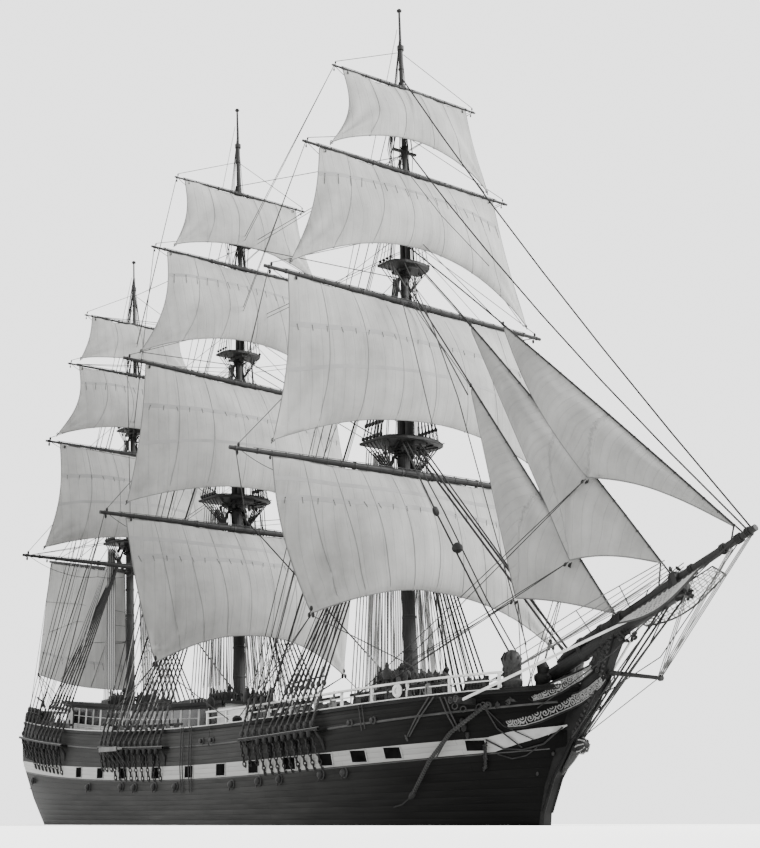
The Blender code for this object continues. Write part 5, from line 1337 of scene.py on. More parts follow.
def standing():
    """Shrouds and backstays of every mast, and the stays between the masts."""
    shrouds, ratlines = Piece("shrouds", "ship", TARRED), Piece("ratlines", "ship", TARRED)
    lanyards, eyes = Piece("lanyards", "ship", HEMP), Piece("deadeyes", "ship", BLOCK_WOOD)
    plates, served = Piece("chain_plates", "ship", IRON), Piece("served_ends", "ship", TARRED)
    parts = shrouds, ratlines, lanyards, eyes, plates, served
    for mast in SHROUDS:
        for side in (1, -1):
            shroud_gang(mast, side, parts)
            upper_gangs(mast, side, parts)
    stays = Piece("middle_stays", "ship", TARRED)
    for mast, ahead in (("main", "fore"), ("mizzen", "main")):
        cross, small, truck = MASTS[mast][4], MASTS[mast][6], MASTS[mast][7]
        target = MASTS[ahead]
        for (spar, z), (low_spar, low_z), size in (((1, cross - 0.02), (0, target[2] - 0.16), 0.020),
                ((1, cross - 0.30), (0, target[2] - 0.45), 0.014), ((2, small - 0.02), (1, target[4] - 0.30), 0.015),
                ((2, min(truck - 1.4, small + 2.3)), (2, target[6] - 0.1), 0.012)):
            stays.tube([axis(mast, spar, z) + X * 0.08, axis(ahead, low_spar, low_z) - X * 0.10], size, 6)
    finish(shrouds, ratlines, lanyards, eyes, plates, served, stays)


# Bow

KNEE_FRONT = ((15.02, 4.30), (14.60, 3.35), (13.84, 2.37), (13.22, 1.57), (12.81, 1.09), (12.42, 0.30))
# columns: x, z and half height along the carved bands of the bow
UPPER_BAND = ((12.92, 2.94, 0.12), (13.22, 3.06, 0.17), (13.46, 3.17, 0.17), (13.63, 3.29, 0.15), (13.82, 3.40, 0.13),
              (14.25, 3.56, 0.09))
LOWER_BAND = ((12.22, 2.38, 0.14), (12.54, 2.45, 0.19), (12.86, 2.56, 0.20), (13.27, 2.74, 0.19), (13.52, 2.82, 0.17),
              (13.80, 2.90, 0.15), (14.15, 3.03, 0.14), (14.50, 3.21, 0.13), (14.67, 3.32, 0.09))


def boom_normal():
    return Vector((-BOOM_SLOPE, 0.0, 1.0)).normalized()


def bowsprit_point(x):
    return boom_point(x) - boom_normal() * 0.266


def side_point(x, z, side, out):
    """A point off the hull's side, or off the knee ahead of the stem."""
    return Vector((x, side * (max(STEM_HALF, hull_at(x, z)) + out), z))


def carved_band(piece, band, side):
    """Scrollwork between two borders on a dark ground."""
    spots = [side_point(x, z, side, 0.012) for x, z, _ in band]
    halves = [half for _, _, half in band]
    rises = []
    for index in range(len(spots)):
        ahead = spots[min(index + 1, len(spots) - 1)] - spots[max(index - 1, 0)]
        rises.append(Vector((-ahead.z, 0, ahead.x)).normalized())
    edges = []
    for hand in (-1, 1):
        edge = [spot + rise * (hand * half) for spot, rise, half in zip(spots, rises, halves)]
        edges.append(edge)
        piece.tube(edge, 0.022, 6, paint=1)
        piece.tube([spot - rise * (hand * 0.038) for spot, rise in zip(edge, rises)], 0.013, 5)
    for end in (0, -1):
        piece.tube([edges[0][end], spots[end] + (spots[end] - spots[1 if end == 0 else -2]) * 0.25, edges[1][end]],
            0.020, 6, paint=1)
    total = sum((b - a).length for a, b in zip(spots, spots[1:]))
    walked, index, hand, reach = 0.0, 0, 1, 0.07
    vine = []
    while reach < total - 0.05:
        while index < len(spots) - 2 and walked + (spots[index + 1] - spots[index]).length < reach:
            walked += (spots[index + 1] - spots[index]).length
            index += 1
        share = min(1.0, (reach - walked) / (spots[index + 1] - spots[index]).length)
        place, half = spots[index].lerp(spots[index + 1], share), lerp(halves[index], halves[index + 1], share)
        right = (spots[index + 1] - spots[index]).normalized()
        up = rises[index]
        out = right.cross(up) * (-1 if right.cross(up).y * side < 0 else 1)
        size = half * 0.66
        piece.scroll(place + up * (hand * half * 0.16) + out * 0.016, right, up, size, 1.7, 0.014, hand, hand * 2.4)
        for turn in (0.5, 1.5, 2.6):
            leaf = place + up * (-hand * half * 0.5) + right * (size * (turn - 1.5) * 0.6) + out * 0.010
            piece.turned(leaf, right * cos(turn * 2) + up * sin(turn * 2) * hand,
                ((0.004, -0.035), (0.016, 0.0), (0.012, 0.025), (0.003, 0.05)), 6)
        vine.append(place - up * (hand * half * 0.55) + out * 0.008)
        hand, reach = -hand, reach + size * 1.5
    if len(vine) > 1:
        piece.tube(vine, 0.014, 5)


def knee_carving(piece, side):
    """Vines and leaves down the knee's front edge and up to the bowsprit."""
    edge = [Vector((x, side * 0.125, z)) for x, z in KNEE_FRONT]
    for inset, size in ((0.0, 0.030), (0.09, 0.018)):
        piece.tube([spot - Vector((inset, 0, -inset * 0.35)) for spot in edge], size, 6, paint=1)
    for index in range(22):
        share = index / 21 * 2.35
        low, high = edge[int(share)], edge[int(share) + 1]
        place = low.lerp(high, share - int(share))
        course = (high - low).normalized()
        inward = Vector((course.z, 0, -course.x))
        piece.scroll(place + inward * 0.06 + Y * (side * 0.018), course, inward, 0.055, 1.2, 0.011,
            1 if index % 2 else -1)
        piece.turned(place + inward * 0.02 + Y * (side * 0.02), course + inward * 0.8,
            ((0.006, -0.04), (0.024, 0.0), (0.016, 0.03), (0.004, 0.06)), 6)
    for index in range(8):
        place = Vector((14.42 + 0.075 * index, side * 0.14, 3.50 + 0.125 * index))
        piece.scroll(place, Vector((0.5, 0, 0.85)), Vector((-0.85, 0, 0.5)), 0.075, 1.5, 0.014,
            1 if index % 2 else -1)
    for index in range(5):
        place = Vector((14.20 + 0.10 * index, side * 0.13, 3.66 + 0.10 * index))
        piece.scroll(place, Vector((0.7, 0, 0.7)), Vector((-0.7, 0, 0.7)), 0.06, 1.4, 0.012, -1 if index % 2 else 1)


def bow_posts(dark_carving_and_shade_share, side):
    """The lantern-shaped post, the small post abaft the stem and the scrolls about the cathead."""
    post = Vector((12.37, side * 1.0, rail_z(12.35) - 0.28))
    dark_carving_and_shade_share.turned(post, (0.02, 0, 1), ((0.23, 0), (0.23, 0.35), (0.26, 0.42), (0.26, 0.50), (0.21, 0.56), (0.21, 0.80),
        (0.23, 0.88), (0.24, 0.98), (0.22, 1.08), (0.17, 1.16), (0.10, 1.21), (0.04, 1.24)), 14)
    for step in range(9):
        turn = step * 2 * pi / 9
        rim = Vector((cos(turn), sin(turn), 0))
        dark_carving_and_shade_share.tube([post + rim * out + Z * lift for out, lift in ((0.20, 0.88), (0.245, 1.02), (0.15, 1.18))],
            0.024, 5, paint=1)
        for lift, out in ((0.20, 0.23), (0.34, 0.23), (0.64, 0.21), (0.76, 0.21)):
            dark_carving_and_shade_share.scroll(post + rim * out + Z * lift, rim.cross(Z), Z, 0.06, 1.2, 0.016)
    post = Vector((12.78, side * 0.42, rail_z(12.8) - 0.2))
    dark_carving_and_shade_share.turned(post, (0.1, 0, 1), ((0.16, 0), (0.17, 0.35), (0.21, 0.42), (0.21, 0.52), (0.13, 0.58), (0.16, 0.72),
        (0.07, 0.86)), 12, 1)
    beam = on_rail(11.75, side, 0.52, -0.22)
    for hand in (-1, 1):
        dark_carving_and_shade_share.scroll(beam + Vector((0.10 * hand, side * 0.02, 0.02)), X, Z, 0.10, 1.6, 0.018, hand)
    dark_carving_and_shade_share.scroll(side_point(12.45, 2.86, side, 0.03), Vector((1, 0, 0.1)), Z, 0.12, 1.8, 0.022)
    dark_carving_and_shade_share.scroll(side_point(12.20, 2.80, side, 0.03), Vector((1, 0, 0.1)), Z, 0.10, 1.8, 0.020, -1)


def figurehead(dark_carving_and_shade_share, carving):
    """A turned knob with a ring of leaves on the knee's front."""
    knob = Vector((13.52, 0.0, 1.78))
    dark_carving_and_shade_share.tube(((13.48, 0, 1.72), (13.30, 0, 1.52), (13.10, 0, 1.34), (12.95, 0, 1.18)), (0.11, 0.09, 0.07, 0.03), 8)
    dark_carving_and_shade_share.turned(knob - Vector((0.10, 0, 0.04)), (0.9, 0, 0.25),
        ((0.11, 0), (0.13, 0.08), (0.10, 0.13), (0.16, 0.20), (0.185, 0.30), (0.15, 0.38), (0.07, 0.43)), 14, 1)
    for step in range(8):
        turn = step * pi / 4
        carving.tube([knob + Vector((ahead, cos(turn) * size, sin(turn) * size + lift))
            for ahead, size, lift in ((0.08, 0.15, 0), (0.20, 0.19, 0.03), (0.32, 0.10, 0.06))], 0.018, 5)


def bowsprit_gear(ropes, blocks, chains, pale):
    """Lashings and blocks of the bowsprit and jibboom, stays under them, man ropes and lines to the head."""
    out = boom_normal()
    blocks.tube([boom_point(14.64), boom_point(13.62), boom_point(13.30, -0.02), boom_point(12.95, -0.10)],
        (0.115, 0.11, 0.10, 0.07), 10)
    for x, turns, high, low in ((13.80, 3, 0.13, 0.44), (14.50, 3, 0.13, 0.44), (15.10, 7, 0.13, 0.45),
            (16.90, 4, 0.13, 0.45), (17.45, 3, 0.12, 0.12), (18.40, 3, 0.11, 0.11), (18.85, 4, 0.10, 0.10),
            (19.12, 3, 0.10, 0.10)):
        for step in range(turns):
            spot = boom_point(x + 0.042 * (step - turns / 2)) + out * ((high - low) / 2)
            ropes.oval(spot, out * ((high + low) / 2), Y * (0.175 if low > 0.3 else high), 0.016, 14)
    for x, lift, count in ((15.15, -0.50, 12), (17.0, -0.40, 9), (15.1, 0.12, 4), (17.0, 0.14, 6)):
        for step in range(count):
            turn = step * 2.4
            spot = boom_point(x) + out * lift + Vector((cos(turn) * 0.18, sin(turn) * 0.20, sin(turn * 1.7) * 0.08))
            blocks.block(spot, (cos(turn), 0.3, sin(turn)), 0.065)
    tip, cap, stem = Vector((16.30, 0.0, 3.21)), bowsprit_point(17.0) - out * 0.2, Vector((13.62, 0.0, 1.98))
    for side in (-1, 0, 1):
        chains.tube([stem + Vector((0.03 * side, 0.06 * side, 0.03 * side)),
            cap + Vector((-0.45 * abs(side), 0.10 * side, 0))], 0.026, 6)
        for x in (17.45, 18.60, 19.15):
            pale.tube([tip + Y * (0.06 * side), boom_point(x, -0.10) + Y * (0.04 * side)], 0.012, 5)
    chains.tube([tip, stem + Vector((-0.05, 0, -0.04))], 0.012, 5)
    for side in (-1, 1):
        chains.tube([(13.55, side * 0.2, 2.0), (15.75, side * 0.20, 3.9), bowsprit_point(16.6) - out * 0.1], 0.017, 5)
        rail = [Vector((12.45, side * 0.95, 4.1)), Vector((14.3, side * 0.62, 4.86)),
            Vector((16.9, side * 0.30, 5.72))]
        for lift, size in ((0.0, 0.014), (-0.22, 0.012), (-0.42, 0.012)):
            pale.tube([spot + Z * (lift * (1 if index < 2 else 0.4)) for index, spot in enumerate(rail)], size, 5)
        for x, first, start, run in ((13.4, 0, 12.45, 1.85), (14.3, 1, 14.3, 2.6), (15.6, 1, 14.3, 2.6)):
            top = rail[first].lerp(rail[first + 1], (x - start) / run)
            chains.tube([boom_point(x, -0.05) + Y * (side * 0.12), top], 0.014, 5)
        for step in range(6):
            foot = Vector((11.6 + 0.22 * step, side * (1.15 - 0.10 * step), 3.35 + 0.10 * step))
            pale.tube([foot, boom_point(15.2 + 0.35 * step, 0.12 + 0.03 * step) + Y * (side * 0.10)], 0.011, 4)
        ropes.tube([side_point(12.9, 2.7, side, 0.02), (15.6, side * 0.75, 3.75),
            boom_point(18.8) + Y * (side * 0.08)], 0.014, 5)


def bow_net():
    """The net under the jibboom."""
    net = Piece("bow_net", "ship", PAINTED_LIGHT_ROPE, HEMP)
    for side in (1, -1):
        upper = [boom_point(lerp(15.4, 17.9, step / 16), -0.14) + Y * (side * 0.14) for step in range(17)]
        lower = [spot + Vector((0.10, side * 0.30, -(0.16 + 0.26 * sin(pi * step / 16))))
            for step, spot in enumerate(upper)]
        for share in (0.14, 0.28, 0.42, 0.56, 0.70, 0.84):
            net.tube([low.lerp(high, share) for low, high in zip(lower, upper)], 0.011, 4)
        for step in range(16):
            for first, last in ((0, 1), (1, 0)):
                net.tube([upper[step + first], lower[step + last]], 0.011, 4)
        for line, size in ((lower, 0.024), (upper, 0.018), ([upper[0], lower[0]], 0.020),
                ([upper[-1], lower[-1]], 0.020)):
            net.tube(line, size, 5, paint=1)
    net.done()


def bow_side(side, ropes, blocks, chains, served):
    """Chain swags, a cluster of blocks and the served spar over the bow's side."""
    def on_side(x, z, off=0.07):
        return side_point(x, z, side, off)

    for size, spots in ((0.022, ((11.67, 2.0), (11.95, 1.78), (12.31, 1.75), (12.75, 1.88), (13.26, 2.25))),
            (0.016, ((11.78, 1.66), (12.05, 1.55), (12.35, 1.62), (12.6, 1.80))),
            (0.018, ((11.95, 2.72), (12.00, 2.25), (12.32, 1.80))),
            (0.014, ((11.95, 2.72), (12.15, 2.30), (12.60, 1.98)))):
        chains.tube([on_side(*spot) for spot in spots], size, 5)
    for step in range(7):
        spot = on_side(11.62 - 0.03 * step, 1.86 - 0.085 * step, 0.10)
        chains.oval(spot, Vector((0.06 * cos(step), 0, 0.075)), Vector((0.055, side * 0.03, 0)), 0.020, 8)
        blocks.turned(spot, (cos(step * 2.1), 0.2, sin(step * 2.1)), ((0.02, -0.07), (0.045, 0), (0.015, 0.07)), 7)
    blocks.block(on_side(11.36, 2.30, 0.12), Z, 0.12)
    blocks.turned(on_side(11.36, 2.42, 0.10), Z, ((0.03, -0.05), (0.06, 0), (0.055, 0.05), (0.02, 0.09)), 10)
    blocks.turned(on_side(11.36, 2.14, 0.10), -Z, ((0.045, -0.03), (0.05, 0.05), (0.02, 0.12)), 9)
    spar = [on_side(12.23, 2.80, 0.34), on_side(11.14, 2.16, 0.30), on_side(10.37, 1.54, 0.26),
        on_side(9.59, 0.73, 0.22)]
    ropes.tube(spar, 0.046, 8)
    length, course = (spar[-1] - spar[0]).length, (spar[-1] - spar[0]).normalized()
    for step in range(int(length / 0.075)):
        share = step * 0.075 / length * 3
        spot = spar[int(share)].lerp(spar[min(3, int(share) + 1)], share - int(share)) if share < 3 else spar[-1]
        served.loop(spot, course, 0.048, 0.011, 8)
    ropes.turned(spar[-1], course, ((0.05, -0.10), (0.075, -0.04), (0.075, 0.05), (0.03, 0.14)), 9)
    ropes.tube([spar[-1], on_side(9.2, 0.50, 0.16), on_side(8.86, 0.44, 0.05)], 0.020, 5)
    for high, low in (((10.82, 3.02), (9.84, 2.08)), ((10.95, 3.02), (9.93, 2.11)), ((11.10, 3.0), (11.12, 2.25)),
            ((11.22, 3.0), (11.20, 2.20)), ((11.12, 2.25), (10.4, 1.6))):
        middle = on_side((high[0] + low[0]) / 2, (high[1] + low[1]) / 2, 0.12)
        served.tube([on_side(*high, 0.10), middle, on_side(*low)], 0.020, 5)
    served.oval(on_side(9.87, 2.08, 0.10), Vector((0.05, 0, -0.07)), Vector((0.03, side * 0.02, 0.02)), 0.018, 8)
    for x in (11.9, 12.1, 12.0, 11.55, 11.4):
        served.oval(on_side(x, 2.72 + 0.06 * sin(x * 9), 0.16), Vector((0.10, 0, 0.03)),
            Vector((-0.02, side * 0.02, 0.06)), 0.018, 9)


def bow():
    """Carving, posts, net, ropes, chains and blocks about the bow and the bowsprit."""
    carving = Piece("bow_carving", "ship", CARVED, HULL_DARK_PLAIN)
    dark_carving_and_shade_share = Piece("knee_carving", "ship", CARVED_DARK, HULL_DARK_PLAIN)
    for side in (1, -1):
        carved_band(carving, UPPER_BAND, side)
        carved_band(carving, LOWER_BAND, side)
        knee_carving(dark_carving_and_shade_share, side)
        bow_posts(dark_carving_and_shade_share, side)
    figurehead(dark_carving_and_shade_share, carving)
    finish(carving, dark_carving_and_shade_share)
    ropes, blocks = Piece("bow_ropes", "ship", TARRED), Piece("bow_blocks", "ship", BLOCK_WOOD)
    chains, pale = Piece("bow_chains", "ship", IRON), Piece("bow_lines", "ship", PALE_ROPE)
    served = Piece("bow_served_ropes", "ship", HEMP)
    bowsprit_gear(ropes, blocks, chains, pale)
    bow_net()
    for side in (1, -1):
        bow_side(side, ropes, blocks, chains, served)
    finish(ropes, blocks, chains, pale, served)


# Side of the hull

# columns: x and z of the knobs below the band
SIDE_KNOBS = ((-13.2, 1.56), (-6.8, 1.20), (-4.15, 1.16), (-3.22, 1.12), (-1.89, 1.12), (-0.54, 1.10), (2.74, 1.10),
              (4.13, 1.16), (5.11, 1.19), (6.82, 1.27), (7.64, 1.30))


def hull_fittings():
    """Knobs under the band, gangway board, channel edges and knees, hanging lines, transom windows."""
    dark, light = Piece("side_fittings", "ship", IRON, HULL_GREY), Piece("channel_edges", "ship", EDGE_GREY,
        BAND_PLAIN)
    lines_down = Piece("side_lines", "ship", HEMP)
    for side in (1, -1):
        out = Y * side
        for x, z in SIDE_KNOBS:
            spot = side_point(x, z, side, 0.01)
            dark.turned(spot, out, ((0.12, -0.02), (0.13, 0.02), (0.10, 0.05), (0.105, 0.09), (0.07, 0.13),
                (0.02, 0.15)), 12)
            dark.loop(spot + out * 0.03, out, 0.125, 0.014, 14, 1)
            dark.tube([spot + out * 0.08, spot + Vector((-0.10, side * 0.05, -0.16))], 0.020, 5)
        for aft, fore in ((-14.0, -9.0), (-5.7, -1.1), (3.4, 7.3)):
            spots = [(Vector((x, side * (rail_half(x) + CHANNEL_OUT - 0.02), channel_z(x) - 0.02)), out)
                for x in (lerp(aft, fore, step / 14) for step in range(15))]
            light.strip(spots, [(0.0, -0.045), (0.045, -0.035), (0.045, 0.035), (0.0, 0.045)], 0)
            for step in range(7):
                x = lerp(aft + 0.2, fore - 0.2, step / 6)
                arm = Vector((x, side * (rail_half(x) + CHANNEL_OUT - 0.05), channel_z(x) - 0.07))
                foot = side_point(x, channel_z(x) - 0.55, side, 0.02)
                dark.tube([arm, arm.lerp(foot, 0.45) - out * 0.06, foot], (0.035, 0.045, 0.03), 6)
        board = rail_z(-4.4) - 0.55
        place = Matrix.Translation((-4.40, side * (rail_half(-4.4) + 0.30), board))
        light.box((-0.62, -0.24, -0.035), (0.62, 0.24, 0.035), place, 1, 0.01)
        light.box((-0.62, side * 0.24 - 0.02, -0.09), (0.62, side * 0.24 + 0.02, 0.05), place, 0, 0.006)
        for step in range(4):
            x = -4.90 + 0.33 * step
            arm = Vector((x, side * (rail_half(x) + 0.50), board - 0.05))
            dark.tube([arm, side_point(x + 0.25, board - 0.62, side, 0.02)], 0.024, 5)
        for x in (-0.36, -0.22, 0.16, 0.30):
            lines_down.tube([on_rail(x, side, 0.10, 0.02), side_point(x + 0.10, 1.7, side, 0.07),
                side_point(x + 0.16, 0.92, side, 0.05)], 0.017, 5)
        lines_down.oval(side_point(-5.0, 2.55, side, 0.12), Vector((0.03, 0, 0.20)), X * 0.07, 0.018, 10)
        for x, low in ((8.60, 2.30), (8.72, 2.34), (1.35, 2.2)):
            lines_down.tube([side_point(x, rail_z(x) - 0.02, side, 0.08), side_point(x - 0.03, low, side, 0.05)],
                0.012, 5)
        for x in (8.2, 9.0, 1.5, 0.9):
            spot = side_point(x, rail_z(x) - 0.42, side, 0.0)
            dark.turned(spot, out, ((0.09, -0.01), (0.10, 0.03), (0.06, 0.06), (0.07, 0.12), (0.02, 0.14)), 10)
            dark.loop(spot + out * 0.04, out, 0.075, 0.02, 12, 1)
        for x, z in ((12.85, 1.65), (12.4, 1.2)):
            dark.turned(side_point(x, z, side, 0.0), out, ((0.05, 0), (0.05, 0.02), (0.02, 0.03)), 10)
    stern = Piece("stern_windows", "ship", WHITE, GLASS)
    z = 2.55
    for step in range(-2, 3):
        tilt = Matrix.Translation((transom_x(z) - 0.03, step * 0.62, z)) @ Matrix.Rotation(-0.08, 4, "Y")
        for low, high in (((-0.02, -0.20, -0.24), (0.015, 0.20, -0.19)), ((-0.02, -0.20, 0.19), (0.015, 0.20, 0.24)),
                ((-0.02, -0.22, -0.24), (0.015, -0.17, 0.24)), ((-0.02, 0.17, -0.24), (0.015, 0.22, 0.24)),
                ((-0.015, -0.015, -0.2), (0.012, 0.015, 0.2)), ((-0.015, -0.2, -0.015), (0.012, 0.2, 0.015))):
            stern.box(low, high, tilt)
        stern.box((-0.005, -0.18, -0.20), (0.012, 0.18, 0.20), tilt, 1)
    for z, half, size in ((3.02, 2.1, 0.04), (2.12, 2.15, 0.04), (1.30, 1.9, 0.03)):
        stern.box((transom_x(z) - 0.05, -half, z - size), (transom_x(z) + 0.01, half, z + size), None, 0, 0.01)
    dark.done("hull_paint")
    finish(light, lines_down, stern)


# Houses and deck fittings

def house(name, aft, fore, half, height, bays, door_x):
    """Roof planks, dark eaves, panelled walls with windows, and a door in the side where door_x is given."""
    made = Piece(name + "_joinery", "ship", WHITE, GLASS, ROOF, HULL_GREY)
    bays_at = [lerp(aft + 0.45, fore - 0.45, step / bays) for step in range(bays + 1)]
    low, high, panel = height * 0.50, height - 0.20, height * 0.16
    for side in (1, -1):
        for start, end in zip(bays_at, bays_at[1:]):
            middle, wide = (start + end) / 2, (end - start) / 2
            slope = Matrix.Rotation(atan2(deck_z(start) - deck_z(end), end - start), 4, "Y")
            turn = Matrix.Translation((middle, side * half, deck_z(middle) + 0.02)) @ slope
            made.box((-wide, -0.006, 0.02), (wide, 0.012 * side + 0.006, height * 0.12), turn, 3)
            for near, far in ((-wide * 0.90, -0.05), (0.05, wide * 0.90)):
                if door_x is not None and abs(middle - door_x) < wide:
                    made.box((near, -0.012, 0.05), (far, 0.012, high), turn, 1)
                    continue
                made.box((near, -0.014, low), (far, 0.014, high), turn, 1)
                sill = (low + high) / 2
                for out, bars in ((0.026, ((near - 0.03, far + 0.03, low - 0.04, low),
                        (near - 0.03, far + 0.03, high, high + 0.04), (near - 0.03, near, low, high),
                        (far, far + 0.03, low, high), (near, far, sill - 0.010, sill + 0.010))),
                        (0.020, ((near, far, panel, height * 0.19), (near, far, low - 0.12, low - 0.09),
                        (near, near + 0.03, panel, low - 0.09), (far - 0.03, far, panel, low - 0.09)))):
                    for a, b, c, d in bars:
                        made.box((a, -out, c), (b, out, d), turn, 0, 0.004)
            made.box((-wide - 0.04, -0.024, 0.02), (-wide + 0.04, 0.024, height - 0.07), turn, 0, 0.006)
        spots = [(Vector((x, side * (half + 0.10), deck_z(x) + height - 0.03)), Y * side)
            for x in (lerp(aft - 0.02, fore + 0.02, step / 24) for step in range(25))]
        made.strip(spots, [(-0.02, -0.11), (0.020, -0.11), (0.030, -0.06), (0.045, -0.05), (0.045, 0.045),
            (-0.02, 0.045)], 2)
        made.strip([(spot - Z * 0.13, out) for spot, out in spots],
            [(-0.09, -0.02), (-0.04, -0.02), (-0.03, 0.02), (-0.09, 0.02)], 3)
    for x, out in ((aft - 0.10, -1), (fore + 0.10, 1)):
        ground = deck_z(x)
        z, wall = ground + height, x - out * 0.10
        made.box((x - 0.03, -half - 0.10, z - 0.075), (x + 0.03, half + 0.10, z + 0.015), None, 2, 0.01)
        made.box((wall - 0.014, -0.34, ground + 0.06), (wall + 0.014, 0.34, z - 0.28), None, 1)
        for y in (-0.40, 0.34):
            made.box((wall - 0.024, y, ground + 0.05), (wall + 0.024, y + 0.06, z - 0.24), None, 0, 0.005)
        made.box((wall - 0.024, -0.40, z - 0.28), (wall + 0.024, 0.40, z - 0.22), None, 0, 0.005)
    roof = Piece(name + "_roof", "ship", ROOF)
    edge = half + 0.09
    along = [lerp(aft - 0.08, fore + 0.08, step / 24) for step in range(25)]
    roof.rings([[Vector((x, y, deck_z(x) + height + 0.004 + lift))
        for y, lift in ((edge, 0.0), (edge, 0.014), (-edge, 0.014), (-edge, 0.0))] for x in along], along)
    roof.planks(ROOF_PLANK_WIDTH)
    finish(roof, made)


def skylight(made, x, y, z, length, width, height):
    """A glazed skylight or hatch with a ridge."""
    made.box((x - length / 2, y - width / 2, z), (x + length / 2, y + width / 2, z + height * 0.6), None, 0, 0.01)
    ridge = z + height
    for hand in (-1, 1):
        low, high = Vector((0, hand * width / 2, z + height * 0.6)), Z * ridge
        for step in range(5):
            place = x - length / 2 + 0.04 + (length - 0.08) * step / 4
            made.tube([Vector((place, y, 0)) + low, Vector((place, y, 0)) + high], 0.018, 5)
    made.tube([(x - length / 2, y, ridge), (x + length / 2, y, ridge)], 0.03, 6)
    made.box((x - length / 2 + 0.03, y - width / 4, z + height * 0.6),
        (x + length / 2 - 0.03, y + width / 4, ridge - 0.02), None, 1)


def pin_row(wood, coils, start, end, out, count, size):
    """A pin rail with belaying pins and a coil on each."""
    start, end, out = Vector(start), Vector(end), Vector(out)
    wood.tube([start, end], 0.045, 6)
    for step in range(count):
        spot = start.lerp(end, (step + 0.5) / count)
        wood.turned(spot - Z * 0.16, Z, ((0.012, 0), (0.018, 0.12), (0.018, 0.2), (0.028, 0.24), (0.030, 0.30),
            (0.014, 0.36)), 7)
        coils.hank(spot + out * 0.05 + Z * 0.06, out, size * RANDOM.uniform(0.8, 1.25), size * 0.14, 4)


def fife_rails(wood, coils):
    """Posts and pin rails about the foot of each mast, and peaked hanks of rope on them."""
    for mast in MASTS:
        foot = axis(mast, 0, 2.6)
        ground = deck_z(foot.x) + (1.52 if mast != "fore" else 0.0)
        high = ground + (0.26 if mast != "fore" else 1.62)
        size = 0.13 if mast != "fore" else 0.30
        reach = 0.75 if mast != "mizzen" else 0.6
        for ahead in (-0.55, 0.55):
            for side in (-1, 1):
                post = Vector((foot.x + ahead, side * reach, ground))
                wood.turned(post, Z, ((0.07, 0), (0.07, high - ground - 0.12), (0.10, high - ground - 0.05),
                    (0.10, high - ground + 0.06), (0.05, high - ground + 0.12), (0.085, high - ground + 0.22),
                    (0.02, high - ground + 0.32)), 10)
        for side in (-1, 1):
            pin_row(wood, coils, (foot.x - 0.55, side * reach, high), (foot.x + 0.55, side * reach, high), Y * side,
                5, size)
        pin_row(wood, coils, (foot.x + 0.55, -reach, high), (foot.x + 0.55, reach, high), X, 6, size)
        pin_row(wood, coils, (foot.x - 0.55, -reach, high), (foot.x - 0.55, reach, high), (-1, 0, 0), 6, size)


def rail_pins(wood, coils, pale):
    """Pin rails inside the bulwarks, with a coil on each pin."""
    for first, last in ((-13.9, -9.3), (-5.6, -0.8), (3.2, 7.6), (8.0, 10.9)):
        lift = 0.16 if first < 0 else 0.30
        for side in (1, -1):
            count = round((last - first) / 0.55)
            for step in range(count):
                spot = on_rail(lerp(first, last, (step + 0.5) / count), side, -0.16, lift)
                wood.turned(spot - Z * 0.16, Z, ((0.014, 0), (0.02, 0.16), (0.03, 0.22), (0.030, 0.28),
                    (0.012, 0.34)), 6)
                (pale if step % 3 == 1 else coils).hank(spot, Y * side, RANDOM.uniform(0.15, 0.26), 0.021, 4)
            wood.tube([on_rail(lerp(first, last, part / 6), side, -0.16, lift) for part in range(7)], 0.04, 6)


def deck_furniture(wood, grey):
    """Bitts, windlass, hatches and skylights."""
    for x, y in ((11.2, 0.55), (8.5, 1.2), (1.2, 2.1)):
        for side in (-1, 1):
            wood.turned((x, side * y, deck_z(x)), Z, ((0.11, 0), (0.11, 0.75), (0.15, 0.80), (0.15, 0.88),
                (0.06, 0.95)), 10)
        wood.tube([(x, -y - 0.3, deck_z(x) + 0.55), (x, y + 0.3, deck_z(x) + 0.55)], 0.075, 8)
    ground = deck_z(10.6)
    wood.turned((10.6, -0.95, ground + 0.42), Y, ((0.14, 0), (0.26, 0.04), (0.20, 0.3), (0.20, 0.8), (0.30, 0.86),
        (0.30, 1.04), (0.20, 1.10), (0.20, 1.6), (0.26, 1.86), (0.14, 1.9)), 14)
    for y in (-0.98, 0.98):
        wood.box((10.42, y - 0.06, ground - 0.02), (10.78, y + 0.06, ground + 0.8), None, 0, 0.02)
    for x, length, width in ((5.7, 1.2, 1.3), (0.75, 1.3, 1.5)):
        base = deck_z(x)
        wood.box((x - length / 2, -width / 2, base), (x + length / 2, width / 2, base + 0.28), None, 0, 0.02)
        for step in range(5):
            y = lerp(-width / 2 + 0.05, width / 2 - 0.05, step / 4)
            wood.box((x - length / 2 - 0.02, y - 0.03, base + 0.28), (x + length / 2 + 0.02, y + 0.03, base + 0.31),
                None, 0, 0.008)
    for x, length in ((-5.4, 1.4), (-7.9, 0.9), (-11.3, 0.9)):
        skylight(grey, x, 0.0, deck_z(x) + HOUSE_HEIGHT + 0.01, length, 0.8, 0.24)
    skylight(grey, 3.3, 0.0, deck_z(3.3) + FORE_HOUSE_HEIGHT + 0.01, 1.0, 0.7, 0.26)


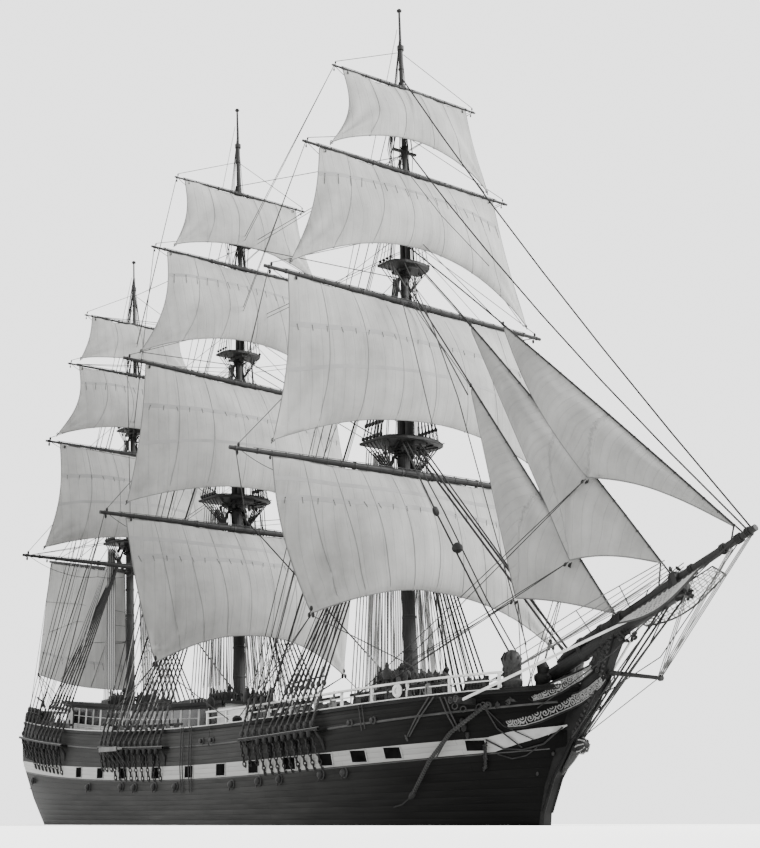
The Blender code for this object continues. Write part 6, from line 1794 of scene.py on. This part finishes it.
def stern_gear(wood, coils, iron):
    """Wheel box, binnacle, lockers, pin rails and boat davits, and the balusters across the stern."""
    base, top = deck_z(-13.9), rail_z(-13.7)
    wood.box((-14.05, -0.9, base), (-13.62, 0.9, base + 0.55), None, 0, 0.03)
    wood.turned((-12.85, 0.55, base), Z, ((0.14, 0), (0.11, 0.1), (0.11, 0.75), (0.17, 0.8), (0.17, 0.98),
        (0.08, 1.1), (0.02, 1.16)), 12)
    for side in (1, -1):
        y = side * 1.85
        wood.box((-14.2, y - 0.28, base + 0.05), (-13.2, y + 0.28, top + 0.34), None, 0, 0.06)
        wood.box((-14.24, y - 0.32, top + 0.34), (-13.16, y + 0.32, top + 0.42), None, 0, 0.03)
        for step in range(7):
            spot = on_rail(-14.30 + 0.24 * step, side, -0.10, 0.36)
            coils.hank(spot, Y * side, 0.22, 0.026, 5)
            wood.turned(spot - Z * 0.36, Z, ((0.05, 0), (0.05, 0.40), (0.08, 0.44), (0.07, 0.52), (0.02, 0.58)), 8)
        wood.tube([on_rail(x, side, -0.10, 0.40) for x in (-14.4, -13.8, -13.2, -12.7)], 0.05, 7)
        for x in (-12.4, -9.2):
            foot = on_rail(x, side, -0.16, -0.3)
            iron.tube([foot] + [foot + Vector((0, side * out, lift))
                for out, lift in ((0, 0.9), (0.10, 1.15), (0.34, 1.30))], 0.030, 7)
    top = rail_z(-14.42)
    for step in range(8):
        wood.turned((-14.42, lerp(-1.9, 1.9, step / 7), top + 0.04), Z,
            ((0.05, 0), (0.03, 0.1), (0.045, 0.2), (0.03, 0.34)), 8)
    wood.tube([(-14.42, -2.0, top + 0.40), (-14.42, 2.0, top + 0.40)], 0.045, 7)


def deck_gear():
    """Woodwork, coils, casks and ironwork on the deck and the rails."""
    wood, coils = Piece("deck_woodwork", "ship", BLOCK_WOOD, GLASS), Piece("coils", "ship", HEMP)
    pale, white = Piece("pale_coils", "ship", PALE_ROPE), Piece("deck_white", "ship", WHITE, GLASS)
    iron, grey = Piece("deck_iron", "ship", IRON), Piece("skylights", "ship", HULL_GREY, GLASS)
    fife_rails(wood, coils)
    rail_pins(wood, coils, pale)
    deck_furniture(wood, grey)
    stern_gear(wood, coils, iron)
    # urn finials on the rail, lifebuoys, casks and dark bundles abaft the fore shrouds
    for x in (9.35, 3.05, 0.95):
        for side in (-1, 1):
            wood.turned(on_rail(x, side, -0.14), Z, ((0.04, 0), (0.04, 0.52), (0.10, 0.56), (0.13, 0.66),
                (0.12, 0.76), (0.05, 0.86), (0.06, 0.90), (0.01, 1.0)), 12)
    for side in (-1, 1):
        ring = on_rail(9.84, side, 0.02, 0.22)
        white.loop(ring, Y, 0.125, 0.055, 16)
        white.turned(ring - Y * (side * 0.03), Y * side, ((0.10, 0), (0.10, 0.02), (0.02, 0.04)), 14)
        for x, y in ((9.2, 1.9), (8.7, 1.5), (3.1, 2.2), (12.0, 0.2)):
            cask = Vector((x, side * y, deck_z(x)))
            wood.turned(cask, Z, ((0.20, 0), (0.25, 0.2), (0.26, 0.4), (0.25, 0.6), (0.20, 0.78)), 12)
            for lift in (0.12, 0.28, 0.52, 0.68):
                iron.loop(cask + Z * lift, Z, 0.255, 0.008, 14)
        for x, y, size in ((8.3, 2.0, 0.30), (7.7, 2.0, 0.26), (10.2, 1.6, 0.30), (11.4, 1.3, 0.26)):
            y, ground = side * y, deck_z(x)
            for turn in range(5):
                coils.loop(Vector((x, y, ground + 0.05 + 0.05 * turn)), Z, size * (1 - 0.06 * turn), 0.03, 14)
            for turn in range(6):
                coils.hank(Vector((x + 0.12 * turn - 0.3, y, ground + 0.95)), Y * side, 0.25, 0.026, 4)
            wood.tube([(x - 0.35, y, ground + 0.92), (x + 0.45, y, ground + 0.92)], 0.05, 6)
            for end in (-0.3, 0.4):
                wood.tube([(x + end, y, ground), (x + end, y, ground + 1.05)], 0.055, 7)
    finish(wood, coils, pale, white, iron, grey)


# Running rigging

# mast and sail: where the brace of each side leads, as x, half breadth and height
BRACES = {
    ("fore", "course"): (-1.85, 0.16, 9.6),
    ("fore", "topsail"): (-2.1, 0.20, 14.9),
    ("fore", "topgallant"): (-2.9, 0.10, 16.6),
    ("fore", "royal"): (-2.95, 0.07, 19.4),
    ("main", "course"): (-10.0, 3.06, 3.35),
    ("main", "topsail"): (-10.25, 0.18, 9.9),
    ("main", "topgallant"): (-10.55, 0.14, 14.2),
    ("main", "royal"): (-10.85, 0.08, 17.5),
    ("mizzen", "course"): (-2.95, 0.20, 9.7),
    ("mizzen", "topsail"): (-3.05, 0.20, 11.4),
    ("mizzen", "topgallant"): (-3.2, 0.14, 15.1),
    ("mizzen", "royal"): (-3.35, 0.12, 16.5),
}


def braces():
    """Braces from the ends of each yard to the rail or the next mast."""
    for mast in MASTS:
        for level, pair in (("lower", ("course", "topsail")), ("upper", ("topgallant", "royal"))):
            made = Piece("%s_%s_braces" % (mast, level), "%s_%s_yards" % (mast, level), HEMP)
            for sail in pair:
                x, across, z = BRACES[mast, sail]
                for side in (-1, 1):
                    tip = yard_point(mast, sail, side * 0.965, 0.0, -0.05)
                    end = Vector((x, side * across, z))
                    made.tube([end, tip], 0.012, 5)
                    made.tube([end - Z * 0.16, tip], 0.010, 4)
            lead = {"fore": (-1.0, 5.9), "main": (-9.5, -4.0), "mizzen": (-3.8, -9.0)}[mast]
            made.done(blend=((lead[0], 0, 0), (lead[1], 0, 0)))


def clew_ropes():
    """Sheets and tacks of the courses, clewlines up to the tops, and sheets of the upper sails."""
    for row in SQUARE_SAILS:
        mast, sail, below = row[:3]
        body, shape = yard_body(mast, sail), square_shape(row)
        if below is None:
            made, blocks = Piece(mast + "_course_sheets", body, HEMP), Piece(mast + "_clew_blocks", body, BLOCK_WOOD)
            for across, side in ((0, -1), (1, 1)):
                clew = shape(across, 1)
                for ahead, lift in ((4.4, 0.0), (-4.2, 0.05), (-3.9, 0.0)):
                    foot = on_rail(MASTS[mast][0] + ahead, side, -0.05, 0.12)
                    made.tube([foot + Z * lift, clew + Vector((0.04 if ahead > 0 else -0.04, 0, -0.06))], 0.015, 5)
                for shift in ((-0.09, 0, -0.04), (0.09, 0, -0.05), (0.0, 0, 0.13)):
                    blocks.block(clew + Vector(shift), Z, 0.075)
            made.done(blend=((0, 0, 3.5), (0, 0, 4.5)))
            blocks.done()
        gear = Piece("%s_%s_clew_gear" % (mast, sail), body, HEMP)
        for across, side in ((0, -1), (1, 1)):
            clew, centre, behind = shape(across, 1), yard_point(mast, sail, side * 0.16, -0.14), X * -0.10
            gear.tube([clew + behind, clew.lerp(centre, 0.5) + behind * 1.5, centre + behind], 0.010, 4)
            gear.loop(clew, X, 0.045, 0.012, 10)
            if below:
                gear.tube([clew, clew - Vector((0.0, -side * 0.05, 0.10))], 0.018, 5)
        gear.done()


def mast_gear(mast, gear, light):
    """Ropes that hang from one mast to the deck and the rails."""
    x, _, top, _, cross, _, small, truck = MASTS[mast][:8]
    ground = deck_z(x) + (2.1 if mast != "fore" else 1.2)
    driven = mast == "mizzen"  # the driver swings behind this mast, so the gear keeps to its sides
    inner = (0.58, 0.03, 0.47, 0.025) if driven else (0.35, 0.08, 0.20, 0.05)

    def below_top(drop, ahead, across):
        return axis(mast, 0, top - drop) + Vector((ahead, across, 0))

    for side in (-1, 1):
        for step in range(13):
            if driven:
                low = Vector((x - 0.34 + 0.01 * step, side * (0.56 + 0.03 * step), ground))
                high = below_top(0.2, -0.26, side * (0.46 + 0.025 * step))
            else:
                low = Vector((x - 1.2 + 0.09 * step, side * (0.75 + 0.02 * (step % 3)), ground))
                high = below_top(0.2, -0.80 + 0.045 * step, side * (0.25 + 0.08 * (step % 5)))
            (gear if step % 3 == 0 else light).tube([low, high], 0.011, 4)
        for step in range(12):
            if not driven:
                low = Vector((x - 1.0 - 0.05 * step, side * 0.09 * step, ground - 0.5))
                light.tube([low, below_top(0.15, -0.55, side * 0.08 * step)], 0.017, 4)
            low = Vector((x - 0.3 - 0.06 * (step % 4), side * (inner[0] + inner[1] * step), ground - 0.4))
            light.tube([low, below_top(0.3, -0.28 if driven else -0.40, side * (inner[2] + inner[3] * step))],
                0.015, 4)
        for step in range(16):
            high = below_top(0.25, -0.45, side * 0.5)
            if step > 12:
                high = axis(mast, 2, (truck - 0.7, small - 0.3)[step % 2]) + Vector((-0.05, side * 0.07, 0))
            elif step > 9:
                high = axis(mast, 1, cross - 0.4) + Vector((-0.1, side * 0.14, 0))
            (light if step % 3 else gear).tube([on_rail(x - 0.5 - 0.20 * step, side, -0.18, 0.2), high], 0.012, 4)
        for step in range(7):
            across = side * TOP_WIDTH[mast] * (0.25 + 0.10 * (step % 5))
            low = axis(mast, 0, top + 0.1) + Vector((-0.75 + 0.07 * step, across, 0))
            high = axis(mast, 1, cross - 0.3) + Vector((-0.26 + 0.02 * step, side * (0.12 + 0.04 * (step % 4)), 0))
            (light if step % 3 == 1 else gear).tube([low, high], 0.013, 4)
        for step in range(4):
            across = side * CROSSTREES_WIDTH[mast] * (0.2 + 0.15 * step)
            low = crosstrees_centre(mast) + Vector((-0.42 + 0.07 * step, across, 0.05))
            gear.tube([low, axis(mast, 2, small - 0.1) + Vector((-0.10, side * 0.08, 0))], 0.011, 4)


def running():
    """Ropes that hang from the masts to the rails, halyards, sheets of the headsails and the driver's gear."""
    gear, light = Piece("halyards", "ship", HEMP), Piece("hanging_gear", "ship", PAINTED_LIGHT_ROPE)
    blocks, thick = Piece("gear_blocks", "ship", BLOCK_WOOD), Piece("heavy_gear", "ship", TARRED)
    for mast in MASTS:
        mast_gear(mast, gear, light)
    # doubled fore stay, stay tackles and the gear that leads down before the sails
    for pick, size, sides, points in ((thick, 0.030, 6, ((7.12, -0.10, 10.32), (13.20, -0.10, 4.08))),
            (thick, 0.030, 6, ((7.12, 0.10, 10.32), (13.20, 0.10, 4.08))),
            (thick, 0.026, 5, ((7.30, -0.5, 10.3), (9.3, -0.9, 8.0), (10.9, -0.8, 5.6), (12.2, -0.8, 3.9))),
            (thick, 0.020, 5, ((7.30, -0.4, 10.4), (9.5, -0.8, 8.0), (11.1, -0.7, 5.5), (12.35, -0.7, 3.9))),
            (gear, 0.014, 5, ((7.2, -0.75, 15.5), (8.6, -1.1, 12.8), (9.6, -1.2, 10.2))),
            (gear, 0.020, 5, ((7.0, -0.6, 15.6), (8.5, -1.0, 14.1), (9.9, -1.0, 12.2), (10.6, -0.8, 10.9))),
            (gear, 0.016, 5, ((7.2, -0.35, 15.7), (9.2, -0.9, 13.2), (10.3, -0.9, 10.9), (11.6, -0.9, 7.4),
            (12.7, -0.8, 4.2))), (gear, 0.011, 5, ((6.45, -0.06, 19.3), (8.9, -0.3, 16.6), (10.9, -0.25, 14.5)))):
        pick.tube(points, size, sides)
    blocks.block((9.3, -0.9, 8.0), (0.5, 0, -1), 0.15)
    blocks.turned((10.2, -0.9, 6.9), (0.2, 0, -1), ((0.06, -0.13), (0.13, -0.06), (0.15, 0.0), (0.13, 0.08),
        (0.05, 0.14)), 12)
    for row in HEADSAILS:
        clew = Vector(row[4:7])
        for side in (-1, 1):
            for foot_x in (9.0, 8.4):
                gear.tube([clew + Vector((0, side * 0.05, -0.05)), on_rail(foot_x, side, -0.1, 0.32)], 0.013, 5)
            blocks.block(clew + Vector((-0.10, side * 0.07, -0.10)), (1, 0, 1), 0.06)
    for row, upper_z, spar in zip(HEADSAILS, (14.9, 16.0, 16.9), (1, 2, 2)):
        head, tack = headsail_shape(row)(0, 0), headsail_shape(row)(0, 1)
        gear.tube([head, axis("fore", spar, upper_z) + Vector((0.12, -0.08, 0))], 0.012, 5)
        blocks.block(head + Vector((-0.05, 0, 0.10)), (0.6, 0, 1), 0.06)
        thick.tube([tack, boom_point(tack.x - 0.1, 0.05)], 0.022, 5)
    finish(gear, light, blocks, thick)
    driver = Piece("driver_gear", "driver", HEMP)
    shape = driver_shape()
    clew, peak = shape(1, 1), gaff_line(GAFF_LENGTH - 0.12)
    for across, high in ((1.0, 0.35), (1.0, 0.65), (0.7, 0.98), (0.35, 0.99)):
        end = shape(0.0, high * 0.4 + 0.2)
        for off in (-0.03, 0.03):
            driver.tube([shape(across, high) + Y * off, shape(across * 0.5, (high + 0.3) / 2) + Y * (off * 3), end],
                0.009, 4)
    driver.loop(clew, Y, 0.06, 0.02, 10)
    driver.done()
    sheet = Piece("driver_sheet", "driver", HEMP)
    for y, x in ((-0.9, -14.3), (-1.5, -14.1), (-0.3, -14.35)):
        sheet.tube([(x, y, rail_z(-14.3) + 0.35), clew], 0.014, 5)
    for side in (-1, 1):
        sheet.tube([(-14.2, side * 2.15, rail_z(-14.2) + 0.1), peak], 0.011, 4)
    sheet.done(blend=((0, 0, 4.2), (0, 0, 5.3)))
    peaks = Piece("peak_halyards", "driver", HEMP)
    for along, spar, z in ((GAFF_LENGTH - 0.3, 0, 11.05), (GAFF_LENGTH * 0.7, 0, 11.15), (GAFF_LENGTH * 0.4, 0, 11.2),
            (GAFF_LENGTH - 0.4, 1, 13.6)):
        peaks.tube([axis("mizzen", spar, z) - X * 0.18, gaff_line(along) + Z * 0.05], 0.012, 5)
    peaks.done(blend=((0, 0, 10.95), (0, 0, 10.15)))


# View and light

# camera fitted to the photo: place in metres, angles in degrees, lens in mm for a sensor of 36 mm
CAMERA_PLACE, CAMERA_YAW, CAMERA_PITCH, CAMERA_LENS = (41.06, -25.05, 0.06), 144.86, 14.50, 65.5
WORLD_STRENGTH = 2.6
# columns: name, place, watts, size
LIGHTS = (("key", (64, 50, 58), 340000, 36), ("fill", (-30, -45, 25), 18000, 35))


def dress_frame():
    """Procedural finishes for the CAD nodes that still show."""
    finishes = {"hull": HULL_DARK_PLAIN, "cutwater": HULL_DARK_PLAIN, "rudder": HULL_DARK_PLAIN, "deckhouse": WHITE,
        "fore_deckhouse": WHITE, "capstan": MAST, "helm_wheel": MAST}
    for name, item in NODES.items():
        paint = finishes.get(name, SPAR)
        if name not in finishes:
            if "rail" in name or "head_boom" in name:
                paint = WHITE
            elif name.endswith("stay"):
                paint = TAR_PLAIN
            elif "mast" in name:
                paint = MAST
        item.data.materials.clear()
        item.data.materials.append(paint)


def floor_and_light():
    bpy.ops.mesh.primitive_plane_add(size=400, location=(0, 0, 0))
    floor = bpy.context.active_object
    floor.name = "floor"
    floor.data.materials.append(FLOOR)
    world = bpy.data.worlds.new("studio")
    bpy.context.scene.world = world
    world.use_nodes = True
    world.node_tree.nodes["Background"].inputs[0].default_value = (1, 1, 1, 1)
    world.node_tree.nodes["Background"].inputs[1].default_value = WORLD_STRENGTH
    for name, spot, energy, size in LIGHTS:
        light = bpy.data.lights.new(name, "AREA")
        light.energy, light.size = energy, size
        item = bpy.data.objects.new(name, light)
        item.location = spot
        item.rotation_euler = (Z * 10 - Vector(spot)).to_track_quat("-Z", "Y").to_euler()
        bpy.context.scene.collection.objects.link(item)


def camera():
    made = bpy.data.cameras.new("camera")
    made.lens, made.sensor_width, made.clip_end = CAMERA_LENS, 36, 1000
    item = bpy.data.objects.new("camera", made)
    item.location = CAMERA_PLACE
    yaw, pitch = radians(CAMERA_YAW), radians(CAMERA_PITCH)
    look = Vector((cos(pitch) * cos(yaw), cos(pitch) * sin(yaw), sin(pitch)))
    item.rotation_euler = look.to_track_quat("-Z", "Y").to_euler()
    bpy.context.scene.collection.objects.link(item)
    bpy.context.scene.camera = item


hull_skin()
hull_trim()
band_end()
square_sails()
fore_and_aft_sails()
yard_gear()
mast_details()
standing()
bow()
hull_fittings()
house("deckhouse", -12.5, -0.75, half=1.40, height=HOUSE_HEIGHT, bays=9, door_x=-1.9)
house("fore_deckhouse", 2.0, 4.6, half=1.05, height=FORE_HOUSE_HEIGHT, bays=3, door_x=None)
deck_gear()
braces()
clew_ropes()
running()
dress_frame()
floor_and_light()
camera()
